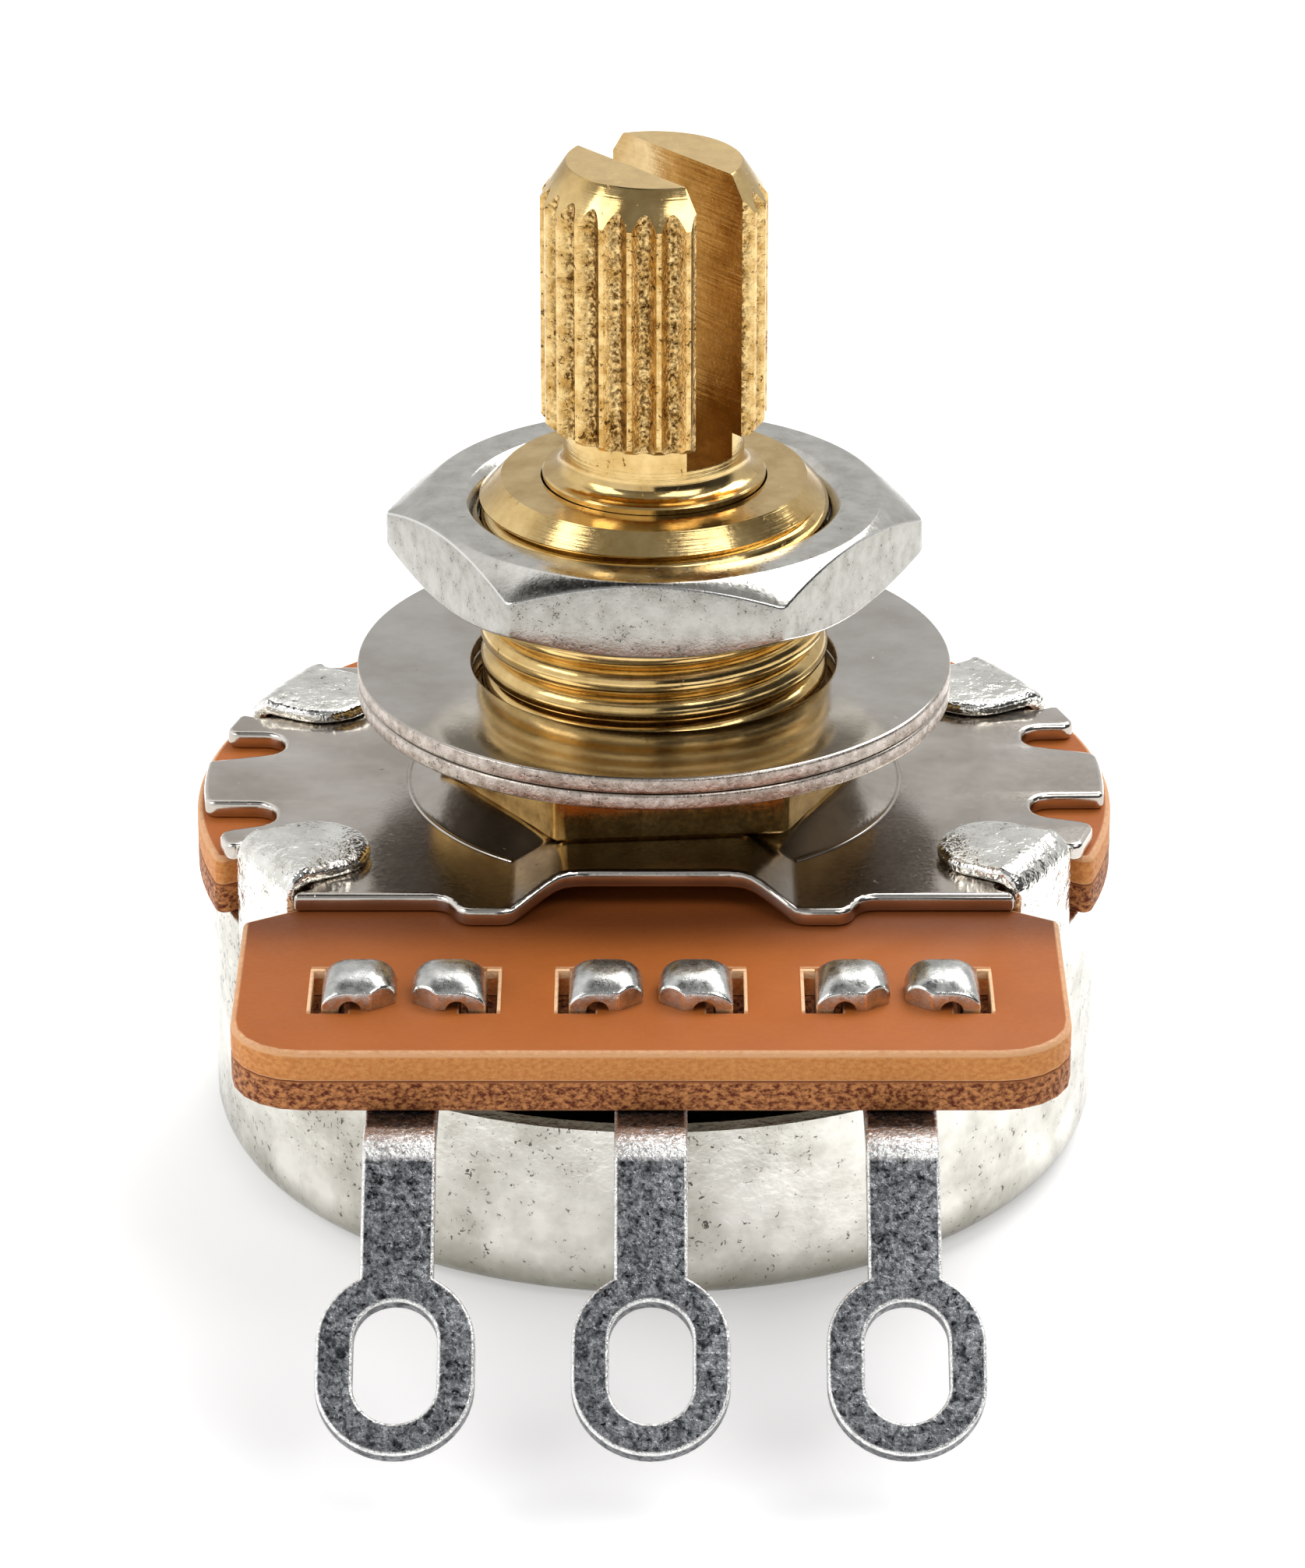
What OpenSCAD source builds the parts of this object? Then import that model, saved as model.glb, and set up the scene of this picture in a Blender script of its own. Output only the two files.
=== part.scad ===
// Rotary potentiometer for an electric guitar: split knurled shaft, short threaded bushing,
// nut and two washers, stamped front plate, phenolic boards with three solder lugs, and a
// drawn steel cover whose four tabs clamp the stack together.
// The part stands on the flat back of its cover. The origin is the centre of that face,
// +Z runs along the shaft and the lugs point towards -Y. Sizes are millimetres.

/* [Cover] */
// Outer diameter of the drawn can
cover_d = 24.6; // [23:0.1:27]
// Sheet thickness of the can
cover_t = 0.5; // [0.3:0.05:0.7]
// Outer radius between the flat back and the wall
cover_corner_r = 1.1; // [0.8:0.1:2]
// Height of the wall, up to the seat of the boards
cover_h = 7.8; // [7.4:0.1:10]
// Height of the sill in front, under the lugs
sill_h = 5.25; // [3:0.05:6]
// Width of each clamping tab
tab_w = 3.1; // [2:0.1:3.2]
// Length of each tab that lies on the front plate
tab_lap = 2.4; // [1.6:0.1:2.6]
// Angle of the front tabs, forward of the X axis
tab_front_a = 30; // [28:1:33]
// Angle of the left rear tab, behind the X axis
tab_rear_left_a = 28; // [26:1:36]
// Angle of the right rear tab, behind the X axis
tab_rear_right_a = 31; // [26:1:36]

/* [Boards] */
// Thickness of each of the two phenolic layers
board_t = 0.84; // [0.6:0.02:1.2]
// How far the round part of the boards stands out past the can
ear_proud = 0.35; // [0.2:0.05:0.8]
// Extra width of the boards' front notches, behind the tabs
notch_relief = 0.4; // [0:0.05:0.6]
// How far the front bar of the boards stands out past the can
bar_overhang = 3.7; // [3:0.05:6]
// From the centre of an outer lug to the end of the bar
bar_end = 4.45; // [3.2:0.05:6]
// Radius of the two front corners
bar_corner_r = 1.9; // [0.5:0.1:3]
// Sideways offset of that bar and of the row of lugs
bar_shift = -0.08; // [-0.16:0.02:0.16]

/* [Front plate] */
// Sheet thickness of the front plate
plate_t = 0.5; // [0.35:0.05:0.8]
// From the shaft axis to the plate's front edge
plate_front = 7.75; // [7.6:0.05:8.8]
// From the shaft axis to the plate's rear edge
plate_rear = 7.6; // [7.4:0.1:9]
// How far the two lips beside the arch stand out in front
lip_step = 0.9; // [0.2:0.05:1]
// Width of each of those lips
lip_w = 1.4; // [0.8:0.1:2]
// Height of the raised seat for the bushing
seat_h = 0.6; // [0.55:0.05:1]
// Diameter of the raised seat's flat top
seat_d = 11.2; // [10.6:0.1:11.8]
// Horizontal length of the seat's sloping flank
seat_flank = 1.15; // [0.8:0.05:1.4]
// Width of the flat top of the arch that runs from the seat to the front edge
arch_w = 5; // [4:0.1:5.6]
// Horizontal length of the arch's sloping sides
arch_flank = 1.3; // [1:0.05:1.6]
// How far the arch's front edge is drawn in behind the lips
arch_draw = 1.15; // [0.4:0.05:1.4]
// Width of the relief slots in the plate's sides
relief_w = 1.5; // [0.8:0.1:1.7]
// Depth of the relief slots, with their round ends
relief_l = 2.1; // [1.2:0.1:2.6]
// Half of the distance between the two relief slots of a side
relief_y = 2.33; // [2:0.01:2.5]
// Offset of the left pair of relief slots along Y
relief_shift_left = -0.2; // [-0.4:0.05:0.2]
// Offset of the right pair of relief slots along Y
relief_shift_right = 0.35; // [-0.4:0.05:0.4]

/* [Bushing] */
// Outer diameter of the bushing's thread, 3/8 inch
thread_d = 9.525; // [9:0.025:9.8]
// Length of the bushing above its hexagon, 1/4 inch
bushing_l = 6.35; // [6:0.05:12]
// Chamfer at the bushing's free end
bushing_chamfer = 0.7; // [0.3:0.05:0.9]
// Hexagon of the bushing, across its flats
hex_af = 10.85; // [10.6:0.05:11.6]
// Height of that hexagon
hex_h = 2.05; // [1.4:0.05:3]
// Turn of that hexagon about the shaft axis
hex_turn = 5; // [0:1:30]
// Diameter of the spigot that is staked in the front plate
spigot_d = 8.4; // [8:0.1:8.8]
// Thickness of the staked collar under the plate
stake_t = 0.25; // [0.2:0.01:0.3]

/* [Nut and washers] */
// Hexagon of the nut, across its flats, 1/2 inch
nut_af = 12.7; // [12:0.1:14]
// Thickness of the nut
nut_t = 2.2; // [1.6:0.1:2.5]
// Diameter of the nut's flat faces inside the chamfers
nut_face_d = 12.4; // [11.6:0.1:12.6]
// Slope of those chamfers
nut_chamfer_a = 30; // [10:1:32]
// Countersink at both ends of the nut's thread
nut_sink = 0.35; // [0.2:0.05:0.5]
// Gap left for the panel between the nut and the washers
nut_gap = 2.6; // [2.2:0.1:2.7]
// Turn of the nut about the shaft axis
nut_turn = -2; // [-30:1:30]
// Outer diameter of the washers
washer_d = 16.3; // [15:0.1:18]
// Thickness of each washer
washer_t = 0.475; // [0.4:0.025:0.6]
// Radial gap between a washer and the thread
washer_air = 0.25; // [0.1:0.05:0.5]

/* [Shaft] */
// Diameter over the splines
knurl_d = 6.1; // [5.9:0.05:6.3]
// Length of the splined end
knurl_l = 7.3; // [6:0.1:12]
// Number of splines
spline_count = 24; // [18:1:30]
// Depth of the grooves between the splines
groove_depth = 0.26; // [0.1:0.01:0.3]
// Width of those grooves at the surface
groove_w = 0.38; // [0.2:0.01:0.4]
// Radial size of the chamfer at the top
tip_chamfer = 0.65; // [0.3:0.05:0.8]
// Height of the chamfer at the top
tip_chamfer_h = 1; // [0.4:0.05:1.2]
// Size of the chamfer at the foot of the splines
foot_chamfer = 0.15; // [0.1:0.01:0.35]
// Width of the sawn slot that splits the shaft
split_w = 1.6; // [1:0.1:1.8]
// Depth of that slot from the top
split_depth = 8; // [7.6:0.1:8.2]
// Direction of that slot about the shaft axis
shaft_turn = -50; // [-180:5:180]
// Diameter of the turned neck below the splines
neck_d = 4.9; // [4.5:0.1:5]
// Height of the neck, with its fillet
neck_l = 1.47; // [1.4:0.01:2.2]
// Radius of the fillet at the neck's foot
neck_fillet = 0.5; // [0.3:0.05:0.55]
// Diameter of the shaft in the bushing
journal_d = 6.08; // [5.9:0.02:6.3]
// How far the journal stands out of the bushing
journal_rise = 0.2; // [0.1:0.05:0.5]
// Diameter of the stub that carries the rotor
stub_d = 4.2; // [4:0.1:4.6]
// Distance between the two flats of the stub
stub_flats = 3.4; // [3:0.1:3.7]

/* [Solder lugs] */
// Distance between neighbouring lugs
lug_pitch = 6.4; // [5.8:0.05:6.8]
// Sheet thickness of a lug
lug_t = 0.5; // [0.4:0.02:0.6]
// Width of the stem
stem_w = 1.87; // [1.4:0.05:2.4]
// Flat length of the stem in front of the boards
stem_flat = 1.1; // [0.5:0.1:2]
// Sloping length from the bend to the centre of the eye
stem_l = 5.8; // [5:0.1:7]
// Slope of the stem below the horizontal
stem_slope = 37; // [10:1:44]
// Width of the eye
eye_w = 4; // [3.4:0.1:4.6]
// Width of the wire hole
eye_hole_w = 2.1; // [1.6:0.1:2.6]
// Length of the wire hole
eye_hole_l = 3.3; // [2.8:0.05:3.6]
// Length of the eye
eye_l = 5.05; // [4.8:0.05:6]
// Distance from the boards' front edge to the middle of the prongs
prong_setback = 3.35; // [2.4:0.05:4]
// Width of a prong along Y
prong_w = 1.95; // [1.4:0.05:2.4]
// Outer width over the two prongs of one lug
prong_span = 3.96; // [3.8:0.02:4.4]
// Height of a folded prong above the board
prong_rise = 0.83; // [0.7:0.01:0.95]
// Gap at the outer end of each prong slot
slot_gap = 0.46; // [0.2:0.02:0.6]
// Gap behind each prong in its slot
slot_back = 0.62; // [0.1:0.02:0.8]

/* [Inside] */
// Thickness given to the printed carbon and silver layers
print_t = 0.05; // [0.03:0.01:0.1]
// Mean radius of the resistance track
track_r = 8.8; // [8.2:0.1:9.2]
// Width of the resistance track
track_w = 2; // [1.4:0.1:2.2]
// Angle of the track's gap, at the front
track_gap_a = 54; // [40:1:60]
// Mean radius of the collector ring
collector_r = 4.95; // [4.7:0.05:5.2]
// Width of the collector ring
collector_w = 1.3; // [1:0.1:1.5]
// Width of the printed leads
lead_w = 2; // [1.2:0.1:2.4]
// Diameter of the rotor disc
rotor_d = 19.8; // [17:0.1:20.5]
// Thickness of the rotor disc
rotor_t = 1; // [0.8:0.1:1.4]
// Diameter of the rotor's hub
hub_d = 6.8; // [6.4:0.1:7]
// Gap between the rotor disc and the boards, for the wiper
rotor_gap = 1.2; // [1:0.05:1.5]
// Thickness of the wiper's spring sheet
wiper_t = 0.2; // [0.1:0.05:0.25]
// Width of one wiper finger
finger_w = 0.5; // [0.3:0.05:0.6]
// Thickness of the retaining ring
ring_t = 0.25; // [0.2:0.05:0.3]
// Thickness of the stop arm
arm_t = 0.5; // [0.4:0.05:0.6]
// Reach of the stop arm from the axis
arm_reach = 5.3; // [5:0.05:5.4]
// Width of the stop arm
arm_w = 2.6; // [2:0.1:2.6]
// Width of the stop tooth under the front plate
tooth_w = 2; // [1.5:0.1:2]

/* [Clearances] */
// Radial running clearance of the shaft in the bushing
run_air = 0.04; // [0.01:0.01:0.1]
// Clearance of a piece that is assembled by hand or staked
fit_air = 0.02; // [0.01:0.01:0.05]
// Clearance of the tabs in their notches
tab_air = 0.15; // [0.05:0.05:0.25]
// Clearance of moving pieces inside the can
move_air = 0.3; // [0.2:0.05:0.4]
// Gap between the wiper and the printed layers
touch_air = 0.03; // [0.02:0.01:0.05]

/* [Hidden] */
$fn = 96;
eps = 0.01;

brass = "#c9a24d";
steel = "#b9b8b2";
tin = "#a9acad";
nickel = "#c6c5c0";
phenolic = "#c2702f";
dark_phenolic = "#8d4526";
carbon = "#2b2a2a";
silver = "#d2d3d0";
nylon = "#e5dfcc";

// Radii round the shaft axis
cover_r = cover_d / 2;
wall_r = cover_r - cover_t;
board_r = cover_r + ear_proud;
seat_r = seat_d / 2;
foot_r = seat_r + seat_flank;
thread_r = thread_d / 2;
bore_r = journal_d / 2 + run_air;
stake_r = spigot_d / 2 + 0.5;
hub_hole_r = hub_d / 2 + move_air;
arm_hole_r = arm_reach + 2 * move_air;

// Levels along the shaft axis, from the back of the cover upwards
z_board = cover_h;
z_joint = z_board + board_t;
z_plate = z_joint + board_t;
z_plate_top = z_plate + plate_t;
z_seat = z_plate_top + seat_h;
z_washer = z_seat + hex_h;
z_washer_mid = z_washer + washer_t;
z_washer_top = z_washer_mid + washer_t;
z_nut = z_washer_top + nut_gap;
z_bushing = z_washer + bushing_l;
z_collar = z_bushing + journal_rise;
z_knurl = z_collar + neck_l;
z_tip = z_knurl + knurl_l;
z_print = z_board - print_t;
z_stake = z_seat - plate_t - stake_t;
z_ring = z_stake - touch_air - ring_t;
z_arm = z_ring - arm_t;
z_disc = z_board - rotor_gap;
z_disc_low = z_disc - rotor_t;

// Clamping tabs: angles round the axis and bend of the sheet
tab_angles = [180 + tab_front_a, -tab_front_a, 180 - tab_rear_left_a, tab_rear_right_a];
bend_r = 0.3;
tab_flat_r = wall_r - bend_r;
tab_tip_r = tab_flat_r - tab_lap;
notch_w = tab_w + 2 * tab_air;
relief_shifts = [relief_shift_right, relief_shift_left];

// Front bar of the boards and the row of lugs
bar_front = cover_r + bar_overhang;
bar_half = lug_pitch + bar_end;
prong_y = -bar_front + prong_setback;
lug_x = [bar_shift - lug_pitch, bar_shift, bar_shift + lug_pitch];
z_lug = z_print - lug_t;
window_half = lug_pitch + prong_span / 2 + move_air;
prong_r = (prong_span / 2 - 0.19) / 2;
slot_in = prong_span / 2 - lug_t - 2 * fit_air;
slot_out = prong_span / 2 + slot_gap;
slot_front = prong_y - prong_w / 2 - 4 * fit_air;
slot_l = prong_w + 4 * fit_air + slot_back;

// Shaft
stub_r = stub_d / 2;
rivet_r = stub_r + 0.7;
rivet_h = 0.5;
groove_r = stub_r + 0.3;
split_floor = z_tip - split_depth;

// Outline of the tab that is cut free of the can's wall, at one angle
module at_tabs() {
    for (a = tab_angles) rotate(a) children();
}

module tab_outline() {
    tip_r = tab_w / 2 - eps;
    translate([tab_tip_r + tip_r, 0]) circle(r = tip_r);
    translate([tab_tip_r + tip_r, -tab_w / 2]) square([cover_r - tab_tip_r, tab_w]);
}

module tab_notch(from_r) {
    translate([from_r, -notch_w / 2]) square([cover_r, notch_w]);
}

// Section of the wall, bent inwards over the front plate
module tab_section() {
    bend_z = z_plate_top - bend_r;
    outer_bend = bend_r + cover_t;
    translate([wall_r, z_board - 1]) square([cover_t, bend_z - z_board + 1]);
    translate([tab_flat_r, bend_z]) intersection() {
        difference() {
            circle(r = outer_bend);
            circle(r = bend_r);
        }
        square(outer_bend);
    }
    translate([tab_tip_r, z_plate_top]) square([tab_lap + eps, cover_t]);
}

module can_section() {
    inner_corner = cover_corner_r - cover_t;
    difference() {
        union() {
            square([cover_r - cover_corner_r, cover_corner_r]);
            translate([0, cover_corner_r]) square([cover_r, z_board - cover_corner_r]);
            translate([cover_r - cover_corner_r, cover_corner_r]) intersection() {
                circle(r = cover_corner_r);
                translate([0, -cover_corner_r]) square(cover_corner_r);
            }
        }
        translate([0, cover_t]) square([wall_r - inner_corner, z_board]);
        translate([0, cover_corner_r]) square([wall_r, z_board]);
        translate([wall_r - inner_corner, cover_corner_r]) intersection() {
            circle(r = inner_corner);
            translate([0, -inner_corner]) square(inner_corner);
        }
    }
}

module cover() {
    color(tin) {
        difference() {
            rotate_extrude() can_section();
            translate([-window_half, -2 * cover_r, sill_h])
                cube([2 * window_half, 2 * cover_r, z_board]);
        }
        intersection() {
            rotate_extrude() tab_section();
            linear_extrude(z_plate_top + 1) at_tabs() tab_outline();
        }
    }
}

// Outline shared by the two phenolic layers
module board_outline() {
    bar_side = bar_front - bar_corner_r;
    difference() {
        union() {
            circle(r = board_r);
            translate([bar_shift, 0]) {
                translate([-bar_half, -bar_side]) square([2 * bar_half, bar_side - wall_r / 2]);
                translate([bar_corner_r - bar_half, -bar_front])
                    square([2 * (bar_half - bar_corner_r), bar_corner_r + eps]);
                for (s = [-1, 1]) translate([s * (bar_half - bar_corner_r), -bar_side])
                    circle(r = bar_corner_r);
            }
        }
        at_tabs() tab_notch(wall_r - tab_air);
        for (side = [0, 1]) mirror([side, 0]) rotate(-tab_front_a)
            translate([wall_r - tab_air, 0]) square([cover_r, notch_w / 2 + notch_relief]);
        for (x = lug_x) for (side = [0, 1]) translate([x, slot_front]) mirror([side, 0])
            translate([slot_in, 0]) square([slot_out - slot_in, slot_l]);
    }
}

module element_board() {
    color(dark_phenolic) translate([0, 0, z_board]) linear_extrude(board_t) difference() {
        board_outline();
        circle(r = hub_hole_r);
    }
}

module terminal_board() {
    color(phenolic) translate([0, 0, z_joint]) linear_extrude(board_t) difference() {
        board_outline();
        circle(r = arm_hole_r);
    }
}

// Flat outline of the front plate, before the seat is raised
module plate_outline() {
    plate_r = cover_r + tab_air;
    lip_x = arch_w / 2 + arch_flank;
    difference() {
        union() {
            difference() {
                circle(r = plate_r);
                translate([-plate_r, -plate_r - plate_front]) square([2 * plate_r, plate_r]);
                translate([-plate_r, plate_rear]) square([2 * plate_r, plate_r]);
            }
            translate([-lip_x - lip_w, -plate_front - lip_step])
                square([2 * (lip_x + lip_w), lip_step + eps]);
        }
        at_tabs() tab_notch(tab_flat_r - fit_air);
        for (side = [0, 1]) for (sy = [-1, 1]) mirror([side, 0])
            translate([plate_r - relief_l + relief_w / 2, relief_shifts[side] + sy * relief_y]) {
                circle(d = relief_w);
                translate([0, -relief_w / 2]) square([relief_l, relief_w]);
            }
    }
}

// Solid of the raised seat and of the arch in front of it
module raised_form(base_z) {
    arch_l = plate_front + lip_step;
    translate([0, 0, base_z]) {
        cylinder(r1 = foot_r, r2 = seat_r, h = seat_h);
        rotate([90, 0, 0]) linear_extrude(arch_l) polygon([
            [-arch_w / 2 - arch_flank, 0], [-arch_w / 2, seat_h],
            [arch_w / 2, seat_h], [arch_w / 2 + arch_flank, 0]
        ]);
    }
}

module front_plate() {
    tooth_low = z_arm - move_air;
    tooth_in = stake_r + fit_air;
    front_y = -plate_front - lip_step;
    arch_half = arch_w / 2;
    color(steel) {
        difference() {
            union() {
                translate([0, 0, z_plate]) linear_extrude(plate_t) plate_outline();
                raised_form(z_plate_top - eps);
            }
            raised_form(z_plate - eps);
            linear_extrude(z_seat + 1) polygon([
                [-arch_half - arch_flank, front_y], [-arch_half, front_y + arch_draw],
                [arch_half, front_y + arch_draw], [arch_half + arch_flank, front_y],
                [arch_half + arch_flank, front_y - 1], [-arch_half - arch_flank, front_y - 1]
            ]);
            cylinder(r = spigot_d / 2 + fit_air, h = z_seat + 1);
        }
        translate([-tooth_w / 2, tooth_in, tooth_low])
            cube([tooth_w, arm_reach - tooth_in + move_air, z_seat - plate_t / 2 - tooth_low]);
    }
}

module bushing() {
    color(brass) difference() {
        union() {
            translate([0, 0, z_seat]) rotate(hex_turn) intersection() {
                cylinder(d = hex_af / cos(30), h = hex_h, $fn = 6);
                cylinder(r1 = hex_af, r2 = hex_af / 2, h = hex_h);
            }
            translate([0, 0, z_stake]) cylinder(d = spigot_d, h = z_washer - z_stake);
            translate([0, 0, z_stake]) cylinder(r = stake_r, h = stake_t - eps);
            translate([0, 0, z_washer - eps])
                cylinder(r = thread_r, h = bushing_l - bushing_chamfer + eps);
            translate([0, 0, z_bushing - bushing_chamfer])
                cylinder(r1 = thread_r, r2 = thread_r - bushing_chamfer, h = bushing_chamfer);
        }
        translate([0, 0, z_stake - 1]) cylinder(r = bore_r, h = z_bushing);
    }
}

module washer(z) {
    color(steel) translate([0, 0, z]) difference() {
        cylinder(d = washer_d, h = washer_t);
        translate([0, 0, -1]) cylinder(r = thread_r + washer_air, h = washer_t + 2);
    }
}

module lower_washer() { washer(z_washer); }
module upper_washer() { washer(z_washer_mid); }

// Half profile that chamfers both faces of the nut
module nut_profile() {
    face_r = nut_face_d / 2;
    over = nut_af / 2;
    drop = (over - face_r + 1) * tan(nut_chamfer_a);
    polygon([
        [0, 0], [face_r, 0], [over + 1, drop],
        [over + 1, nut_t - drop], [face_r, nut_t], [0, nut_t]
    ]);
}

module hex_nut() {
    nut_bore_r = thread_r + run_air;
    sink_r = nut_bore_r + nut_sink;
    color(nickel) translate([0, 0, z_nut]) difference() {
        intersection() {
            rotate(nut_turn) cylinder(d = nut_af / cos(30), h = nut_t, $fn = 6);
            rotate_extrude() nut_profile();
        }
        translate([0, 0, -1]) cylinder(r = nut_bore_r, h = nut_t + 2);
        translate([0, 0, -eps]) cylinder(r1 = sink_r, r2 = nut_bore_r, h = nut_sink);
        translate([0, 0, nut_t - nut_sink + eps])
            cylinder(r1 = nut_bore_r, r2 = sink_r, h = nut_sink);
    }
}

// Cross-section of the splined end
module spline_section() {
    knurl_r = knurl_d / 2;
    difference() {
        circle(r = knurl_r);
        for (i = [0 : spline_count - 1]) rotate(i * 360 / spline_count) polygon([
            [knurl_r - groove_depth, 0],
            [knurl_r + groove_depth, groove_w],
            [knurl_r + groove_depth, -groove_w]
        ]);
    }
}

// Half profile of the splined end, with its chamfers
module knurl_profile() {
    knurl_r = knurl_d / 2;
    polygon([
        [0, z_knurl], [knurl_r - foot_chamfer, z_knurl], [knurl_r + eps, z_knurl + foot_chamfer],
        [knurl_r + eps, z_tip - tip_chamfer_h], [knurl_r - tip_chamfer, z_tip], [0, z_tip]
    ]);
}

// Half profile of the neck, with the fillet that flares to the journal
module neck_profile() {
    neck_r = neck_d / 2;
    difference() {
        translate([0, z_collar - eps]) square([neck_r + neck_fillet, z_knurl - z_collar + 2 * eps]);
        translate([neck_r + neck_fillet, z_collar + neck_fillet]) circle(r = neck_fillet);
        translate([neck_r, z_collar + neck_fillet]) square([neck_d, neck_l]);
    }
}

// Two-flat section of the stub, and of the holes that fit it
module stub_section(air) {
    intersection() {
        circle(r = stub_r + air);
        square([stub_d + 1, stub_flats + 2 * air], center = true);
    }
}

module shaft() {
    color(brass) rotate(shaft_turn) difference() {
        union() {
            intersection() {
                translate([0, 0, z_knurl - 1]) linear_extrude(knurl_l + 2) spline_section();
                rotate_extrude() knurl_profile();
            }
            rotate_extrude() neck_profile();
            translate([0, 0, z_ring + ring_t]) cylinder(d = journal_d, h = z_collar - z_ring - ring_t);
            translate([0, 0, z_ring]) cylinder(r = groove_r, h = ring_t + eps);
            translate([0, 0, z_disc_low - rivet_h]) linear_extrude(z_ring - z_disc_low + rivet_h + eps)
                stub_section(0);
            translate([0, 0, z_disc_low - rivet_h]) cylinder(r = rivet_r, h = rivet_h);
        }
        translate([-knurl_d, -split_w / 2, split_floor]) cube([2 * knurl_d, split_w, split_depth + 1]);
    }
}

// Open ring that keeps the shaft from being pulled out of the bushing
module retaining_ring() {
    color(steel) rotate(shaft_turn) translate([0, 0, z_ring]) linear_extrude(ring_t) difference() {
        circle(r = journal_d / 2 + 1);
        circle(r = groove_r + fit_air);
        translate([0, -groove_r]) square([2 * journal_d, 2 * groove_r]);
    }
}

module stop_arm() {
    color(steel) translate([0, 0, z_arm]) linear_extrude(arm_t) difference() {
        union() {
            circle(d = hub_d + 1);
            intersection() {
                translate([-arm_w / 2, -arm_reach]) square([arm_w, arm_reach]);
                circle(r = arm_reach);
            }
        }
        rotate(shaft_turn) stub_section(fit_air);
    }
}

module rotor() {
    color(nylon) difference() {
        union() {
            translate([0, 0, z_disc_low]) cylinder(d = rotor_d, h = rotor_t);
            translate([0, 0, z_disc_low]) cylinder(d = hub_d, h = z_arm - z_disc_low);
        }
        rotate(shaft_turn) translate([0, 0, z_disc_low - 1])
            linear_extrude(z_arm) stub_section(fit_air);
    }
}

// One group of spring fingers: a sloping blade with a rounded contact at its end
module finger_group(reach, count) {
    rise = z_print - touch_air - z_disc - wiper_t;
    pitch = 1.4 * finger_w;
    contact_r = 0.25;
    for (i = [0 : count - 1])
        translate([(i - (count - 1) / 2) * pitch - finger_w / 2, 0, 0])
            rotate([90, 0, 90]) linear_extrude(finger_w) {
                polygon([[-eps, 0], [-eps, wiper_t], [reach, rise + wiper_t], [reach, rise]]);
                translate([reach, rise + wiper_t - contact_r]) circle(r = contact_r, $fn = 24);
            }
}

// Stamped spring on the rotor that joins the track to the collector ring
module wiper() {
    base_y = (track_r + collector_r) / 2;
    base_l = 1.4;
    base_w = 4.2 * finger_w;
    outer_reach = track_r - base_y - base_l / 2;
    inner_reach = base_y - base_l / 2 - collector_r;
    color(brass) translate([0, 0, z_disc]) {
        translate([-base_w / 2, base_y - base_l / 2, 0]) cube([base_w, base_l, wiper_t]);
        translate([0, base_y + base_l / 2, 0]) finger_group(outer_reach, 3);
        translate([0, base_y - base_l / 2, 0]) rotate(180) finger_group(inner_reach, 2);
    }
}

// Ring sector between two radii, from one angle to another
module ring_sector(r_in, r_out, from_a, to_a) {
    rotate(from_a) rotate_extrude(angle = to_a - from_a)
        translate([r_in, 0]) square([r_out - r_in, print_t]);
}

module resistance_track() {
    color(carbon) translate([0, 0, z_print])
        ring_sector(track_r - track_w / 2, track_r + track_w / 2,
            -90 + track_gap_a / 2, 270 - track_gap_a / 2);
}

// Printed silver lead from one end of the track to the strap of an outer lug
module end_pad(side) {
    end_a = -90 + track_gap_a / 2;
    near_r = track_r - track_w / 2;
    far_r = track_r + track_w / 2;
    strap_back = prong_y + prong_w / 2;
    strap_front = prong_y - prong_w / 2;
    color(silver) translate([0, 0, z_print]) mirror([side, 0, 0]) linear_extrude(print_t) polygon([
        [near_r * cos(end_a), near_r * sin(end_a)],
        [far_r * cos(end_a), far_r * sin(end_a)],
        [lug_pitch + lead_w / 2, strap_back],
        [lug_pitch + lead_w / 2, strap_front],
        [lug_pitch - lead_w / 2, strap_front],
        [lug_pitch - lead_w / 2, strap_back]
    ]);
}

module left_end_pad() { end_pad(1); }
module right_end_pad() { end_pad(0); }

module collector_ring() {
    color(silver) translate([0, 0, z_print]) linear_extrude(print_t) difference() {
        union() {
            circle(r = collector_r + collector_w / 2);
            translate([-lead_w / 2, prong_y - prong_w / 2])
                square([lead_w, prong_w / 2 - prong_y - collector_r]);
        }
        circle(r = collector_r - collector_w / 2);
    }
}

// Section of the strap under the boards and of its two prongs, folded over on top
module prong_section() {
    half = prong_span / 2;
    arch_z = z_plate + prong_rise - prong_r;
    translate([-half, z_lug]) square([2 * half, lug_t]);
    for (side = [0, 1]) mirror([side, 0]) {
        translate([half - lug_t, z_lug]) square([lug_t, arch_z - z_lug]);
        translate([half - prong_r, arch_z]) difference() {
            circle(r = prong_r);
            circle(r = prong_r - lug_t);
            translate([-2 * prong_r, -2 * prong_r]) square([4 * prong_r, 2 * prong_r]);
            translate([-2 * prong_r, -2 * prong_r])
                square([2 * prong_r, 2 * prong_r + z_plate - arch_z + fit_air]);
        }
    }
}

// Eye and stem of a lug, flat, with the bend at the origin and the eye towards -Y
module stem_outline() {
    difference() {
        union() {
            translate([-stem_w / 2, -stem_l]) square([stem_w, stem_l]);
            translate([0, -stem_l]) obround(eye_w, eye_l);
        }
        translate([0, -stem_l]) obround(eye_hole_w, eye_hole_l);
    }
}

module obround(width, length) {
    straight = length - width;
    for (s = [-1, 1]) translate([0, s * straight / 2]) circle(d = width);
    translate([-width / 2, -straight / 2]) square([width, straight]);
}

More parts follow.
